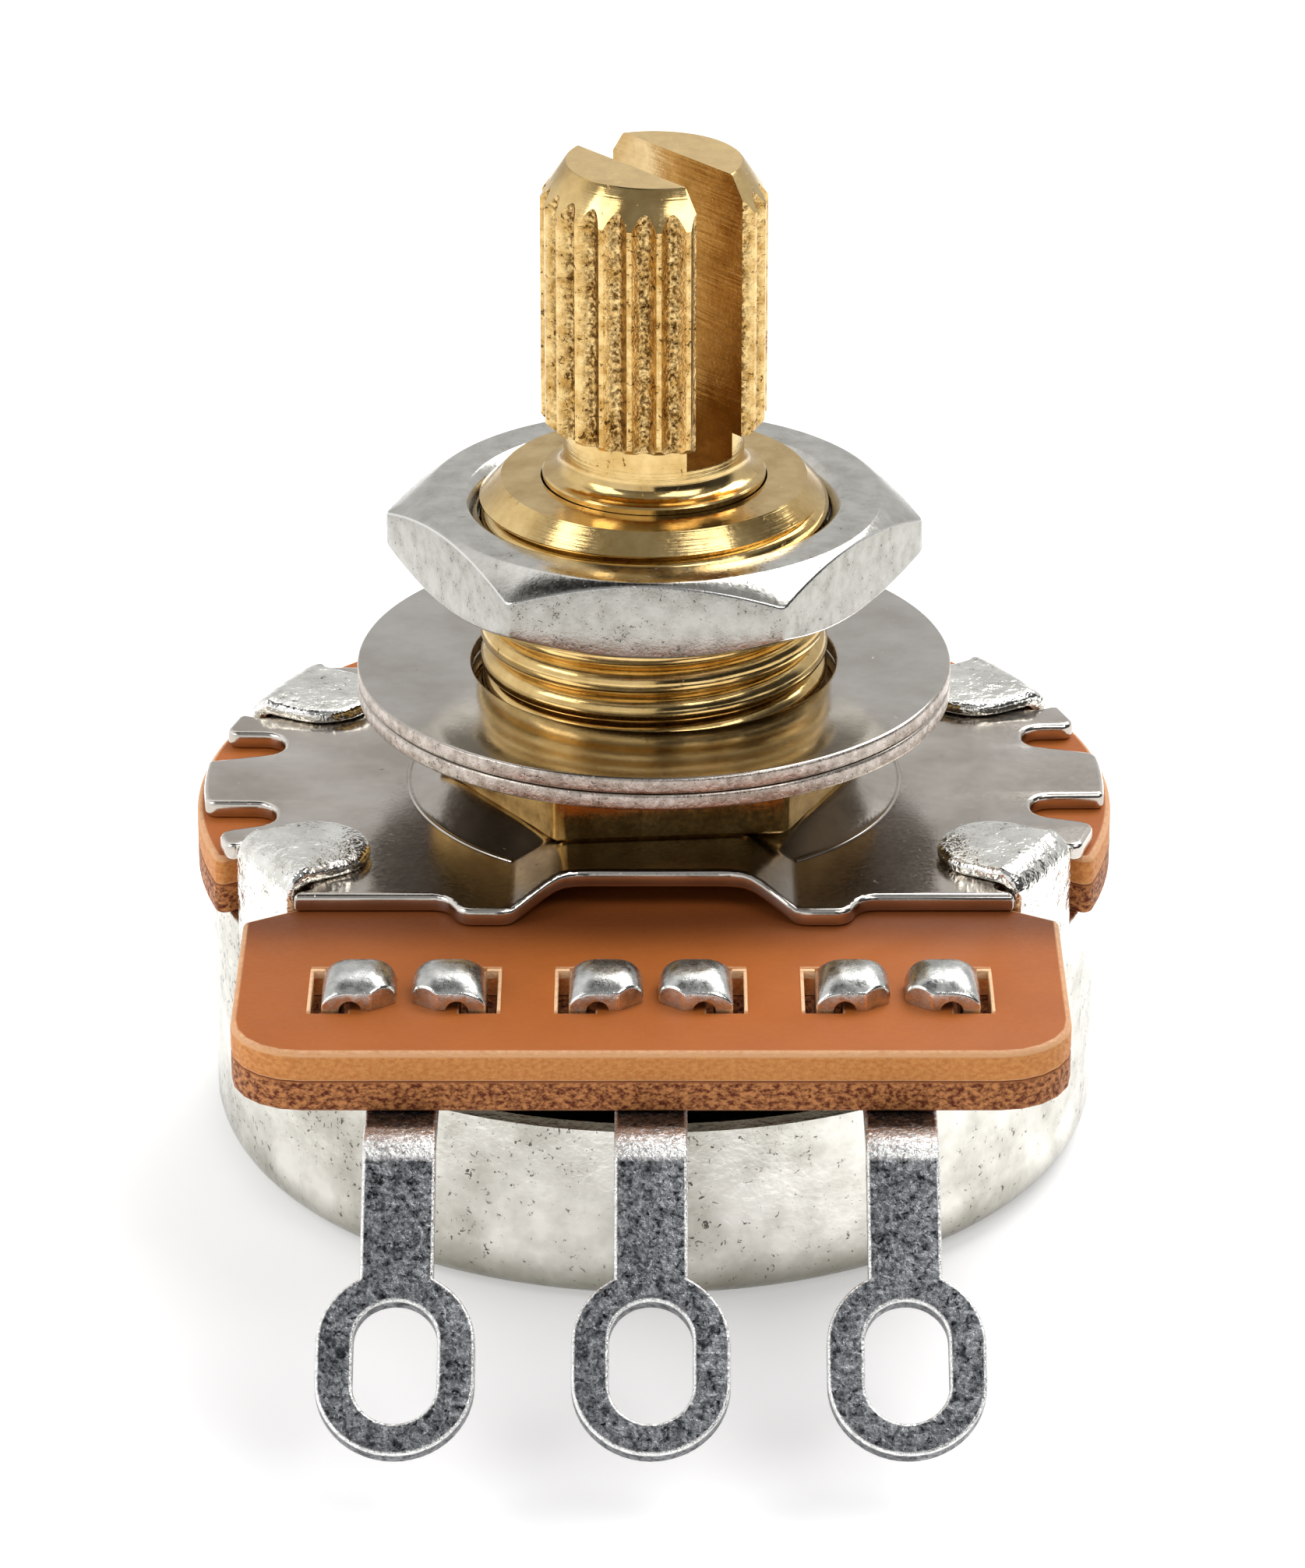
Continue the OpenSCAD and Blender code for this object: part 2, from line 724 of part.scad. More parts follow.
module lug(x) {
    bend_in = lug_t;
    bend_y = -bar_front - stem_flat;
    strap_front = prong_y - prong_w / 2;
    color(tin) translate([x, 0, 0]) {
        translate([0, prong_y + prong_w / 2, 0]) rotate([90, 0, 0]) linear_extrude(prong_w)
            prong_section();
        translate([-stem_w / 2, bend_y, z_lug]) cube([stem_w, strap_front - bend_y + eps, lug_t]);
        translate([0, bend_y, z_lug - bend_in]) {
            rotate([0, 0, -90]) rotate([90, 0, 0]) rotate([0, 0, 90 - stem_slope])
                translate([0, 0, -stem_w / 2]) rotate_extrude(angle = stem_slope)
                    translate([bend_in, 0]) square([lug_t, stem_w]);
            rotate([stem_slope, 0, 0]) translate([0, 0, bend_in]) linear_extrude(lug_t) stem_outline();
        }
    }
}

module left_lug() { lug(lug_x[0]); }
module centre_lug() { lug(lug_x[1]); }
module right_lug() { lug(lug_x[2]); }

cover();
element_board();
terminal_board();
front_plate();
bushing();
lower_washer();
upper_washer();
hex_nut();
shaft();
retaining_ring();
stop_arm();
rotor();
wiper();
resistance_track();
left_end_pad();
right_end_pad();
collector_ring();
left_lug();
centre_lug();
right_lug();
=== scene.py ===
"""Dresses a panel potentiometer: rounds its sheet metal, cuts its thread, and gives it finishes and a studio."""
import math

import bmesh
import bpy
from mathutils import Matrix, Vector


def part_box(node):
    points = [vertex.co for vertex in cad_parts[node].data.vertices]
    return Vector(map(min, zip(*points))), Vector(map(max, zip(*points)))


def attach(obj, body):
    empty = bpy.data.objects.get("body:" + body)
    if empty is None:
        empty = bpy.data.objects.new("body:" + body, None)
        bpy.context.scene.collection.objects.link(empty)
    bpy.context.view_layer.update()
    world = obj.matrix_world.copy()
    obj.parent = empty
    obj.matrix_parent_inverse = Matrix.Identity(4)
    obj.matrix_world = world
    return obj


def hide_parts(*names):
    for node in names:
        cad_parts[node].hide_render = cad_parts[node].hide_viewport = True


bl_info = {
    "name": "Panel potentiometer",
    "version": (1, 0, 0),
    "blender": (4, 5, 0),
    "location": "View3D > Sidebar > Potentiometer",
    "description": "Builds the visible pieces of a split-shaft potentiometer round its CAD frame",
    "category": "Object",
}

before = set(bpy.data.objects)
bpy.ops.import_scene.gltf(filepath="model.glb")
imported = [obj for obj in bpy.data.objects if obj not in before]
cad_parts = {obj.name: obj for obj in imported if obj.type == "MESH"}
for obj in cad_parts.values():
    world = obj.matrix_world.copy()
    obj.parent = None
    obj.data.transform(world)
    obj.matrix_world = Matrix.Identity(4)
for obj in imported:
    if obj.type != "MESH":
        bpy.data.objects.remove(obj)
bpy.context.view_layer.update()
MM = 0.001


def level(node, top):
    """Height of a CAD node's lowest or highest point, in millimetres."""
    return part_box(node)[1 if top else 0][2] / MM


def reach(node):
    """How far a CAD node reaches along +X, in millimetres."""
    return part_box(node)[1][0] / MM


# Levels along the shaft, read from the frame
Z_BOARD = level("element_board", False)
Z_JOINT = level("terminal_board", False)
Z_PLATE = level("terminal_board", True)
Z_TAB_TOP = level("cover", True)
Z_WASHER = level("lower_washer", False)
Z_WASHER_MID = level("upper_washer", False)
Z_WASHER_TOP = level("upper_washer", True)
Z_NUT = level("hex_nut", False)
Z_NUT_TOP = level("hex_nut", True)
Z_BARREL = level("bushing", True)
Z_STAKE = level("bushing", False)
Z_TIP = level("shaft", True)
Z_RIVET = level("shaft", False)
Z_RING = level("retaining_ring", True)
Z_ARM_TOP = level("stop_arm", True)
CAN_R = reach("cover")
BOARD_R = reach("element_board")
BAR_FRONT = -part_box("terminal_board")[0][1] / MM


class PotSizes(bpy.types.PropertyGroup):
    """Sizes of the details that the solids leave out"""

    thread_pitch: bpy.props.FloatProperty(
        name="Thread pitch", description="Height of one turn of the bushing's thread",
        default=0.794 * MM, min=0.5 * MM, precision=5, unit="LENGTH")
    thread_depth: bpy.props.FloatProperty(
        name="Thread depth", description="Radial depth of that thread",
        default=0.32 * MM, min=0.1 * MM, precision=5, unit="LENGTH")
    sheet_edge: bpy.props.FloatProperty(
        name="Sheet edge", description="Rounding of the stamped sheet's edges",
        default=0.1 * MM, min=0.01 * MM, precision=5, unit="LENGTH")
    plate_grid: bpy.props.FloatProperty(
        name="Plate grid", description="Spacing of the cuts that let the front plate bend",
        default=0.11 * MM, min=0.05 * MM, precision=5, unit="LENGTH")
    press_round: bpy.props.FloatProperty(
        name="Press rounding", description="Width over which the raised seat turns flat",
        default=0.22 * MM, min=0.1 * MM, precision=5, unit="LENGTH")


class PotFinishes(bpy.types.PropertyGroup):
    """Colours of the finishes, as sRGB hex values"""

    brass: bpy.props.StringProperty(
        name="Brass", description="Bright turned brass", default="#E2C488")
    tin: bpy.props.StringProperty(
        name="Can tin", description="Tin plate of the can", default="#F4F2EA")
    lug_tin: bpy.props.StringProperty(
        name="Lug tin", description="Dull tin of the solder lugs", default="#8F9194")
    plate: bpy.props.StringProperty(
        name="Plate", description="Satin plated steel of the front plate", default="#CFC8BF")
    washer: bpy.props.StringProperty(
        name="Washer", description="Satin plated steel of the washers", default="#CAC5BE")
    nickel: bpy.props.StringProperty(
        name="Nickel", description="Nickel plate of the nut", default="#D6D4CD")
    laminate: bpy.props.StringProperty(
        name="Laminate", description="Upper phenolic board", default="#B7662B")
    dark_laminate: bpy.props.StringProperty(
        name="Dark laminate", description="Lower phenolic board", default="#8A4427")


# Materials

WHITE = (1, 1, 1, 1)
# Places of the Mix node's two inputs, for numbers and for colours
NUMBER_A, NUMBER_B, COLOUR_A, COLOUR_B = 2, 3, 6, 7
# Levels between which most of a noise lies, a stain spreads and dirt sticks
GRAIN_LOW, GRAIN_HIGH = 0.3, 0.7
STAIN_LOW, STAIN_HIGH = 0.36, 0.66
DIRT_LOW, DIRT_HIGH = 0.38, 0.6
# How much more a stain is pitted than clean metal, and how soft the edge of a pit is, as noise levels
PIT_MORE = 0.1
PIT_EDGE = 0.05
# Slant of saw marks in degrees, and their width as a share of their length
SAW_SLANT = 35
SAW_WIDTH = 0.06
# How far the upper line of the painted shade at a metal's foot wanders, in millimetres
FOOT_WANDER = 0.6
# Phenolic laminate: width of its clouds in millimetres, and an index below its resin's, for a dull skin
RESIN_CLOUD = 2.2
RESIN_IOR = 1.3


def srgb(code):
    """Linear colour with alpha of an sRGB hex value, or of the setting that has this name."""
    code = getattr(bpy.context.scene.pot_finishes, code, code)
    parts = [int(code[i:i + 2], 16) / 255 for i in (1, 3, 5)]
    return [c / 12.92 if c <= 0.04045 else ((c + 0.055) / 1.055) ** 2.4 for c in parts] + [1.0]


def add(tree, kind, inputs=None, out=None, **settings):
    """Adds a node, sets its settings, fills or links its inputs and returns an output, or the first in use."""
    made = tree.nodes.new("ShaderNode" + kind)
    for key, value in settings.items():
        setattr(made, key, value)
    for key, value in (inputs or {}).items():
        socket = made.inputs[key]
        if isinstance(value, bpy.types.NodeSocket):
            tree.links.new(value, socket)
        else:
            socket.default_value = value
    return made.outputs[out] if out else next(o for o in made.outputs if o.enabled)


def blank_material(name):
    """A new node material with its shader, its tree and its Object coordinates."""
    material = bpy.data.materials.new(name)
    material.use_nodes = True
    tree = material.node_tree
    return material, tree, tree.nodes["Principled BSDF"], add(tree, "TexCoord", out="Object")


def per_mm(size):
    """Noise scale whose features are about this many millimetres wide."""
    return 1 / (size * MM)


def metal(name, light, dark, patch, grain, rough, bump, shine=None, pits=None, marks=None, dirt=None, foot=None,
          twist=0.0):
    """A metal whose colour, roughness and relief vary over patches and grains of real sizes.

    patch and grain are widths in millimetres, rough the lowest and highest roughness, and bump the depth of
    the grain in millimetres. shine is the lower roughness of the rounded edges and a lighter colour that paints a
    highlight on them. pits are given as width, noise level below which the metal is pitted, colour and depth.
    marks are tool marks, given as their kind ("turned" round the axis or "sawn" aslant), spacing and depth. dirt
    lies in grooves, and is given as the radii between which it fades out and its colour. foot is painted shade
    that darkens the metal near the ground, given as the heights between which it fades out and its colour.
    twist warps the patches and grains.
    """
    material, tree, shader, place = blank_material(name)
    shader.inputs["Metallic"].default_value = 1.0
    clouds, grains = (
        add(tree, "TexNoise", {"Vector": place, "Scale": per_mm(size), "Detail": detail, "Roughness": fine,
                               "Distortion": twist})
        for size, detail, fine in ((patch, 4.0, 0.6), (grain, 3.0, 0.65)))
    stain = add(tree, "MapRange", {"Value": clouds, "From Min": STAIN_LOW, "From Max": STAIN_HIGH})
    tint = add(tree, "Mix", {"Factor": stain, COLOUR_A: srgb(light), COLOUR_B: srgb(dark)}, data_type="RGBA")
    height = add(tree, "Math", {0: grains, 1: bump}, operation="MULTIPLY")
    roughness = add(tree, "MapRange", {"Value": grains, "From Min": GRAIN_LOW, "From Max": GRAIN_HIGH,
                                       "To Min": rough[0], "To Max": rough[1]})
    if pits:
        size, share, colour, depth = pits
        specks = add(tree, "TexNoise", {"Vector": place, "Scale": per_mm(size), "Detail": 4.0, "Roughness": 0.72,
                                        "Distortion": 0.6})
        limit = add(tree, "Math", {0: stain, 1: PIT_MORE, 2: share - PIT_MORE / 2}, operation="MULTIPLY_ADD")
        under = add(tree, "Math", {0: limit, 1: specks}, operation="SUBTRACT")
        hole = add(tree, "MapRange", {"Value": under, "From Min": 0.0, "From Max": PIT_EDGE})
        tint = add(tree, "Mix", {"Factor": hole, COLOUR_A: tint, COLOUR_B: srgb(colour)}, data_type="RGBA")
        height = add(tree, "Math", {0: hole, 1: -depth, 2: height}, operation="MULTIPLY_ADD")
    if dirt or marks or foot:
        x, y, z = add(tree, "SeparateXYZ", {"Vector": place}).node.outputs
        flat = add(tree, "CombineXYZ", {"X": x, "Y": y})
        off_axis = add(tree, "VectorMath", {0: flat}, operation="LENGTH")
    if dirt:
        low, high, colour = dirt
        deep = add(tree, "MapRange", {"Value": off_axis, "From Min": high * MM, "From Max": low * MM})
        patchy = add(tree, "MapRange", {"Value": grains, "From Min": DIRT_LOW, "From Max": DIRT_HIGH})
        film = add(tree, "Math", {0: deep, 1: patchy}, operation="MULTIPLY")
        tint = add(tree, "Mix", {"Factor": film, COLOUR_A: tint, COLOUR_B: srgb(colour)}, data_type="RGBA")
    if marks:
        kind, spacing, depth = marks
        if kind == "turned":
            lay = add(tree, "CombineXYZ", {"X": off_axis, "Z": z})
        else:
            slant = math.radians(SAW_SLANT)
            lay = add(tree, "Mapping", {"Vector": place, "Rotation": (slant, slant, 0.0),
                                        "Scale": (SAW_WIDTH, SAW_WIDTH, 1.0)})
        strokes = add(tree, "TexNoise", {"Vector": lay, "Scale": per_mm(spacing), "Detail": 2.0})
        height = add(tree, "Math", {0: strokes, 1: depth, 2: height}, operation="MULTIPLY_ADD")
    if foot:
        # Painted shade: the colour darkens towards the bottom, below a line that wanders with the clouds
        low, high, colour = foot
        uneven = add(tree, "Math", {0: clouds, 1: -FOOT_WANDER * MM, 2: z}, operation="MULTIPLY_ADD")
        worn = add(tree, "MapRange", {"Value": uneven, "From Min": high * MM, "From Max": low * MM})
        tint = add(tree, "Mix", {"Factor": worn, COLOUR_A: tint, COLOUR_B: srgb(colour)}, data_type="RGBA")
    # Rounded edges: lower roughness, and a lighter colour that paints a highlight on them
    if shine:
        gloss, bright = shine
        edge = add(tree, "Attribute", out="Fac", attribute_name="edge")
        roughness = add(tree, "Mix", {"Factor": edge, NUMBER_A: roughness, NUMBER_B: gloss}, data_type="FLOAT")
        tint = add(tree, "Mix", {"Factor": edge, COLOUR_A: tint, COLOUR_B: srgb(bright)}, data_type="RGBA")
    relief = add(tree, "Bump", {"Height": height, "Distance": MM, "Strength": 1.0})
    for key, value in (("Base Color", tint), ("Roughness", roughness), ("Normal", relief)):
        tree.links.new(value, shader.inputs[key])
    return material


def laminate(name, face, cut, worn, fibre, bump, rough, lay, torn_range=(0.4, 0.62), shade=None):
    """Phenolic paper laminate: satin resin over paper, with its plies and torn fibres on the cut edge.

    face and cut are the light and dark colours of the face and of the cut edge, worn the colour of its rims,
    fibre and bump their width and depth in millimetres, and lay how much flatter than wide they lie. shade is
    painted shade on the board in front of the plate's edge, given as its place and reach along Y and its colour.
    """
    material, tree, shader, place = blank_material(name)
    clouds = add(tree, "TexNoise", {"Vector": place, "Scale": per_mm(RESIN_CLOUD), "Detail": 5.0,
                                    "Roughness": 0.6})
    pressed = add(tree, "Mapping", {"Vector": place, "Scale": (1.0, 1.0, lay)})
    fibres = add(tree, "TexNoise", {"Vector": pressed, "Scale": per_mm(fibre), "Detail": 4.0, "Roughness": 0.7})
    facing = add(tree, "NewGeometry", out="Normal")
    upward = add(tree, "SeparateXYZ", {"Vector": facing}, out="Z")
    flat = add(tree, "Math", {0: upward}, operation="ABSOLUTE")
    side = add(tree, "MapRange", {"Value": flat, "From Min": 0.9, "From Max": 0.4})
    soft = add(tree, "MapRange", {"Value": clouds, "From Min": GRAIN_LOW, "From Max": GRAIN_HIGH, "To Max": 0.6})
    torn = add(tree, "MapRange", {"Value": fibres, "From Min": torn_range[0], "From Max": torn_range[1]})
    broad, sawn = (
        add(tree, "Mix", {"Factor": share, COLOUR_A: srgb(pair[0]), COLOUR_B: srgb(pair[1])}, data_type="RGBA")
        for share, pair in ((soft, face), (torn, cut)))
    colour = add(tree, "Mix", {"Factor": side, COLOUR_A: broad, COLOUR_B: sawn}, data_type="RGBA")
    # Painted shade: a darker band at a place along Y, in front of the plate's edge, where the plate and washers
    # shade the board
    if shade:
        where, width, shade_colour = shade
        along = add(tree, "SeparateXYZ", {"Vector": place}, out="Y")
        off = add(tree, "Math", {0: along, 1: -where * MM}, operation="ADD")
        away = add(tree, "Math", {0: off}, operation="ABSOLUTE")
        painted_shade = add(tree, "MapRange", {"Value": away, "From Min": width * MM, "From Max": 0.0, "To Max": 0.75},
                  interpolation_type="SMOOTHSTEP")
        colour = add(tree, "Mix", {"Factor": painted_shade, COLOUR_A: colour, COLOUR_B: srgb(shade_colour)}, data_type="RGBA")
    edge = add(tree, "Attribute", out="Fac", attribute_name="edge")
    scuffed = add(tree, "Math", {0: edge, 1: fibres}, operation="MULTIPLY")
    colour = add(tree, "Mix", {"Factor": scuffed, COLOUR_A: colour, COLOUR_B: srgb(worn)}, data_type="RGBA")
    relief = add(tree, "Bump", {"Height": fibres, "Distance": bump * MM, "Strength": side})
    gloss = add(tree, "MapRange", {"Value": fibres, "From Min": GRAIN_LOW, "From Max": GRAIN_HIGH,
                                   "To Min": rough[0], "To Max": rough[1]})
    for key, value in (("Base Color", colour), ("Roughness", gloss), ("Normal", relief)):
        tree.links.new(value, shader.inputs[key])
    shader.inputs["IOR"].default_value = RESIN_IOR
    return material


def plain(name, light, dark, grain, rough, bump, metallic=0.0):
    """A moulded or printed surface with a fine grain."""
    material, tree, shader, place = blank_material(name)
    grains = add(tree, "TexNoise", {"Vector": place, "Scale": per_mm(grain), "Detail": 3.0})
    colour = add(tree, "Mix", {"Factor": grains, COLOUR_A: srgb(light), COLOUR_B: srgb(dark)}, data_type="RGBA")
    relief = add(tree, "Bump", {"Height": grains, "Distance": bump * MM})
    tree.links.new(colour, shader.inputs["Base Color"])
    tree.links.new(relief, shader.inputs["Normal"])
    shader.inputs["Roughness"].default_value = rough
    shader.inputs["Metallic"].default_value = metallic
    return material


METALS = {
    # Bright yellow metal with rings left by the lathe. The real rings are finer, and are drawn coarser to show
    "turned brass": dict(light="brass", dark="#C8A668", patch=1.0, grain=0.14, rough=(0.08, 0.18), bump=0.002,
                         pits=(0.22, 0.33, "#7C5722", 0.01), marks=("turned", 0.07, 0.004)),
    # Matt end of the bar, cut off square
    "faced brass": dict(light="brass", dark="#D2B47C", patch=0.8, grain=0.1, rough=(0.3, 0.42), bump=0.004,
                        pits=(0.2, 0.34, "#A07C44", 0.008)),
    # Splines rolled into the bar: bright crests, pitted and brown in the grooves
    "rolled brass": dict(light="#EBCB8C", dark="#BC924E", patch=0.4, grain=0.12, rough=(0.1, 0.24), bump=0.025,
                         pits=(0.15, 0.385, "#5E3F16", 0.04), dirt=(2.8, 3.0, "#5A3B14")),
    # Slot walls with slanting saw marks
    "sawn brass": dict(light="#D8BC8A", dark="#B4935C", patch=0.9, grain=0.12, rough=(0.14, 0.28), bump=0.004,
                       marks=("sawn", 0.11, 0.02)),
    # Darker, browner and slightly duller brass on the hexagon
    "darker hexagon brass": dict(light="#DDB872", dark="#A57C3E", patch=1.0, grain=0.16, rough=(0.1, 0.22), bump=0.004),
    # Bright cream-white tin over drawn steel, with grey clouds and small dark pits
    # Its rounded edges are painted lighter as a highlight, and olive painted shade darkens it towards the bottom
    "mottled tin plate": dict(light="tin", dark="#BCB9AE", patch=2.6, grain=0.24, rough=(0.13, 0.28), bump=0.03,
                              shine=(0.16, "#FBFAF6"), pits=(0.2, 0.365, "#615D54", 0.06),
                              foot=(0.0, 1.2, "#817D6E")),
    # Tin on the tabs, dented by the tool that bent them over, and painted lighter than the can as light on their
    # tops
    # Its rounded edges are painted lighter as a highlight
    "pressed tin painted lighter": dict(light="#FAF9F3", dark="#DAD8CF", patch=0.9, grain=0.5, rough=(0.1, 0.2), bump=0.09,
                        shine=(0.14, "#FBFAF6"), pits=(0.2, 0.36, "#6B675E", 0.05)),
    # Tin on the prongs, smoothed by the punch that folded them, with painted highlights on its rounded edges
    "burnished tin": dict(light="#DCDCD9", dark="#B4B5B2", patch=0.5, grain=0.2, rough=(0.2, 0.36), bump=0.012,
                          shine=(0.12, "#FAFAF6"), pits=(0.18, 0.32, "#66686A", 0.012)),
    # Dark grey tin, rubbed and scratched by the rolls, with glossier edges painted light as highlights
    "dull lug tin": dict(light="lug_tin", dark="#34373B", patch=0.24, grain=0.12, rough=(0.16, 0.36), bump=0.045,
                         shine=(0.25, "#F6F6F4"), pits=(0.13, 0.42, "#14171B", 0.04), marks=("sawn", 0.1, 0.03),
                         twist=0.8),
    # Grey-brown plated sheet that mirrors softly, with painted highlights on its rounded edges
    "satin plate steel": dict(light="plate", dark="#B4ACA1", patch=2.6, grain=0.12, rough=(0.12, 0.24), bump=0.002,
                              shine=(0.14, "#E4DED6"), pits=(0.25, 0.31, "#857D72", 0.008)),
    # Grey tumbled sheet
    "washer steel": dict(light="washer", dark="#B6B0A7", patch=2.2, grain=0.1, rough=(0.09, 0.17), bump=0.002,
                         pits=(0.2, 0.31, "#8E877D", 0.006)),
    # Sheared rim of the washers, rough and slightly pink from tumbling
    "tumbled rim": dict(light="#CFC4BB", dark="#A3978C", patch=0.3, grain=0.1, rough=(0.2, 0.4), bump=0.02,
                        pits=(0.1, 0.36, "#6E645A", 0.02)),
    # Underside of the washers, painted dark as shade
    "steel in painted shade": dict(light="#5A5248", dark="#453E36", patch=1.5, grain=0.1, rough=(0.3, 0.4), bump=0.002),
    # Nickel over brass, bright and slightly pitted, with painted highlights on its outer rims
    "pitted nickel": dict(light="nickel", dark="#BDBAB2", patch=0.8, grain=0.12, rough=(0.09, 0.22), bump=0.004,
                          shine=(0.1, "#F2F1EE"), pits=(0.13, 0.35, "#6A665E", 0.016)),
    # The nut's flats: nickel painted greyer and darker than the top as shade, full of pits, with painted
    # highlights on edges
    "nickel flats in painted shade": dict(light="#B2B0A9", dark="#9C9991", patch=0.5, grain=0.1, rough=(0.1, 0.24), bump=0.008,
                        shine=(0.1, "#F2F1EE"), pits=(0.1, 0.36, "#615D56", 0.02)),
    # Rolled bright spring sheet
    "spring bronze": dict(light="#C99A55", dark="#A87838", patch=2.0, grain=0.1, rough=(0.2, 0.3), bump=0.002),
}
LAMINATES = {
    # Orange-brown satin board with a paler smeared cut edge, bright torn lips round its slots, and painted shade
    # by the plate
    "phenolic laminate": dict(face=("laminate", "#A65A25"), cut=("#EDA45E", "#D98646"), worn="#FFD2A4", fibre=0.16,
                              bump=0.06, rough=(0.42, 0.6), lay=1.5, shade=(-8.2, 2.4, "#5E2F16")),
    # Red-brown board whose sawn edge shows torn paper and resin grains
    "dark phenolic laminate": dict(face=("dark_laminate", "#6E3016"), cut=("#DE955A", "#6A2C16"), worn="#B4764A",
                                   fibre=0.18, bump=0.08, rough=(0.4, 0.65), lay=1.4, torn_range=(0.4, 0.6)),
}
PLAINS = {
    # Milky moulded plastic
    "natural nylon": dict(light="#E8E2CF", dark="#DDD5BF", grain=0.3, rough=0.4, bump=0.004),
    # Matt black resistive ink. Its real grain is much finer, and is drawn coarser to show
    "carbon print": dict(light="#2A2A2B", dark="#171718", grain=0.05, rough=0.6, bump=0.003),
    # Grey-white conductive ink, with its grain drawn coarser in the same way
    "silver print": dict(light="#D6D6D1", dark="#BDBDB7", grain=0.05, rough=0.35, bump=0.003, metallic=1.0),
}


def finish(name):
    """The material of that name, made the first time that it is asked for."""
    found = bpy.data.materials.get(name)
    if found:
        return found
    for make, table in ((metal, METALS), (laminate, LAMINATES), (plain, PLAINS)):
        if name in table:
            return make(name, **table[name])
    raise ValueError(f"no finish is named {name}")


# Mesh helpers: every shape is modelled in millimetres and scaled when it becomes a piece

ALONG_X, ALONG_Y = (1, 0, 0), (0, 1, 0)
# Edges from this rounding up are drawn with more facets
BROAD_EDGE = 0.15
# Degrees between two points of a round outline
ARC_STEP = 2.0


def make_piece(name, bm, body, slot, look, node, sharp=35, also=()):
    """Turns a bmesh into a piece that rides on a body and stands for a CAD node.

    also lists further looks, each with a test that picks their faces.
    """
    bmesh.ops.recalc_face_normals(bm, faces=bm.faces)
    for index, (other, picks) in enumerate(also, 1):
        for f in bm.faces:
            if picks(f):
                f.material_index = index
    bmesh.ops.scale(bm, vec=(MM, MM, MM), verts=bm.verts)
    mesh = bpy.data.meshes.new(name)
    bm.to_mesh(mesh)
    bm.free()
    mesh.polygons.foreach_set("use_smooth", [True] * len(mesh.polygons))
    mesh.set_sharp_from_angle(angle=math.radians(sharp))
    for each in (look, *(other for other, picks in also)):
        mesh.materials.append(finish(each))
    piece = bpy.data.objects.new(name, mesh)
    bpy.context.scene.collection.objects.link(piece)
    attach(piece, body)
    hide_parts(node)


def move(bm, shift):
    """Shifts a whole bmesh."""
    bmesh.ops.translate(bm, vec=shift, verts=bm.verts)


def rotate(bm, angle, axis):
    """Turns a whole bmesh about an axis through the origin."""
    bmesh.ops.rotate(bm, cent=(0, 0, 0), matrix=Matrix.Rotation(angle, 3, axis), verts=bm.verts)


def soften(bm, edges, size, segments, clamp=False):
    """Rounds some edges and returns the new faces."""
    return bmesh.ops.bevel(bm, geom=edges, offset=size, offset_type="OFFSET", segments=segments, profile=0.5,
                           affect="EDGES", material=-1, clamp_overlap=clamp)["faces"]


def mark_rounding(bm, faces):
    """Gives the attribute "edge" to the vertices that lie wholly inside rounded edges."""
    layer = bm.verts.layers.float.get("edge") or bm.verts.layers.float.new("edge")
    made = set(faces)
    for v in {v for f in made for v in f.verts}:
        if all(f in made for f in v.link_faces):
            v[layer] = 1.0


def sharp_edges(bm, least, test):
    """Edges that turn by more than an angle and whose two ends pass a test."""
    return [e for e in bm.edges if e.calc_face_angle(0) > least and all(test(v.co) for v in e.verts)]


def cut(bm, place, normal, clear=False):
    """Cuts a bmesh with a plane. If asked to, clears what lies beyond it and closes the hole."""
    made = bmesh.ops.bisect_plane(bm, geom=bm.verts[:] + bm.edges[:] + bm.faces[:], dist=1e-5, plane_co=place,
                                  plane_no=normal, clear_outer=clear)
    if clear:
        rim = [g for g in made["geom_cut"] if isinstance(g, bmesh.types.BMEdge)]
        bmesh.ops.edgeloop_fill(bm, edges=rim)


def turned(segments, rings, cap=True):
    """A bmesh lofted from rings round Z. A ring is a function of the angle that gives its radius and height."""
    bm = bmesh.new()
    made = bmesh.ops.create_circle(bm, cap_ends=False, segments=segments, radius=1.0)["verts"]
    first = edges = bm.edges[:]
    for index, ring in enumerate(rings):
        if index:
            grown = bmesh.ops.extrude_edge_only(bm, edges=edges)["geom"]
            made = {g for g in grown if isinstance(g, bmesh.types.BMVert)}
            edges = [g for g in grown if isinstance(g, bmesh.types.BMEdge) and made.issuperset(g.verts)]
        for v in made:
            angle = math.atan2(v.co.y, v.co.x)
            radius, height = ring(angle)
            v.co = (radius * math.cos(angle), radius * math.sin(angle), height)
    if cap:
        bmesh.ops.edgeloop_fill(bm, edges=first)
        bmesh.ops.edgeloop_fill(bm, edges=edges)
    else:
        bmesh.ops.bridge_loops(bm, edges=first + edges)
    return bm


def polar(radius, degrees, x=0.0, y=0.0):
    """Point at a radius and an angle about a centre."""
    angle = math.radians(degrees)
    return x + radius * math.cos(angle), y + radius * math.sin(angle)


def circle(radius, height):
    """A plain ring for turned()."""
    return lambda angle: (radius, height)


def corner(radius, height, size, start, steps=4):
    """Rings of a rounded corner about a centre at a radius and a height, through 90 degrees from a start."""
    return [circle(*polar(size, start + 90 * i / steps, radius, height)) for i in range(steps + 1)]


def hex_radius(angle, across, turn, edge):
    """Radius of a hexagon with rounded corners at an angle. A flat faces -Y at no turn."""
    local = (angle - math.radians(turn) + math.pi / 6) % (math.pi / 3) - math.pi / 6
    local = math.pi / 6 - abs(local)
    flat = across / 2
    centre = (flat - edge) / math.cos(math.pi / 6)
    off = math.pi / 6 - local
    straight = flat / math.cos(local)
    reach_of_arc = centre * math.cos(off) + math.sqrt(max(edge ** 2 - (centre * math.sin(off)) ** 2, 0))
    tangent = math.atan2((flat - edge) * math.tan(math.pi / 6), flat)
    return straight if local < tangent else reach_of_arc


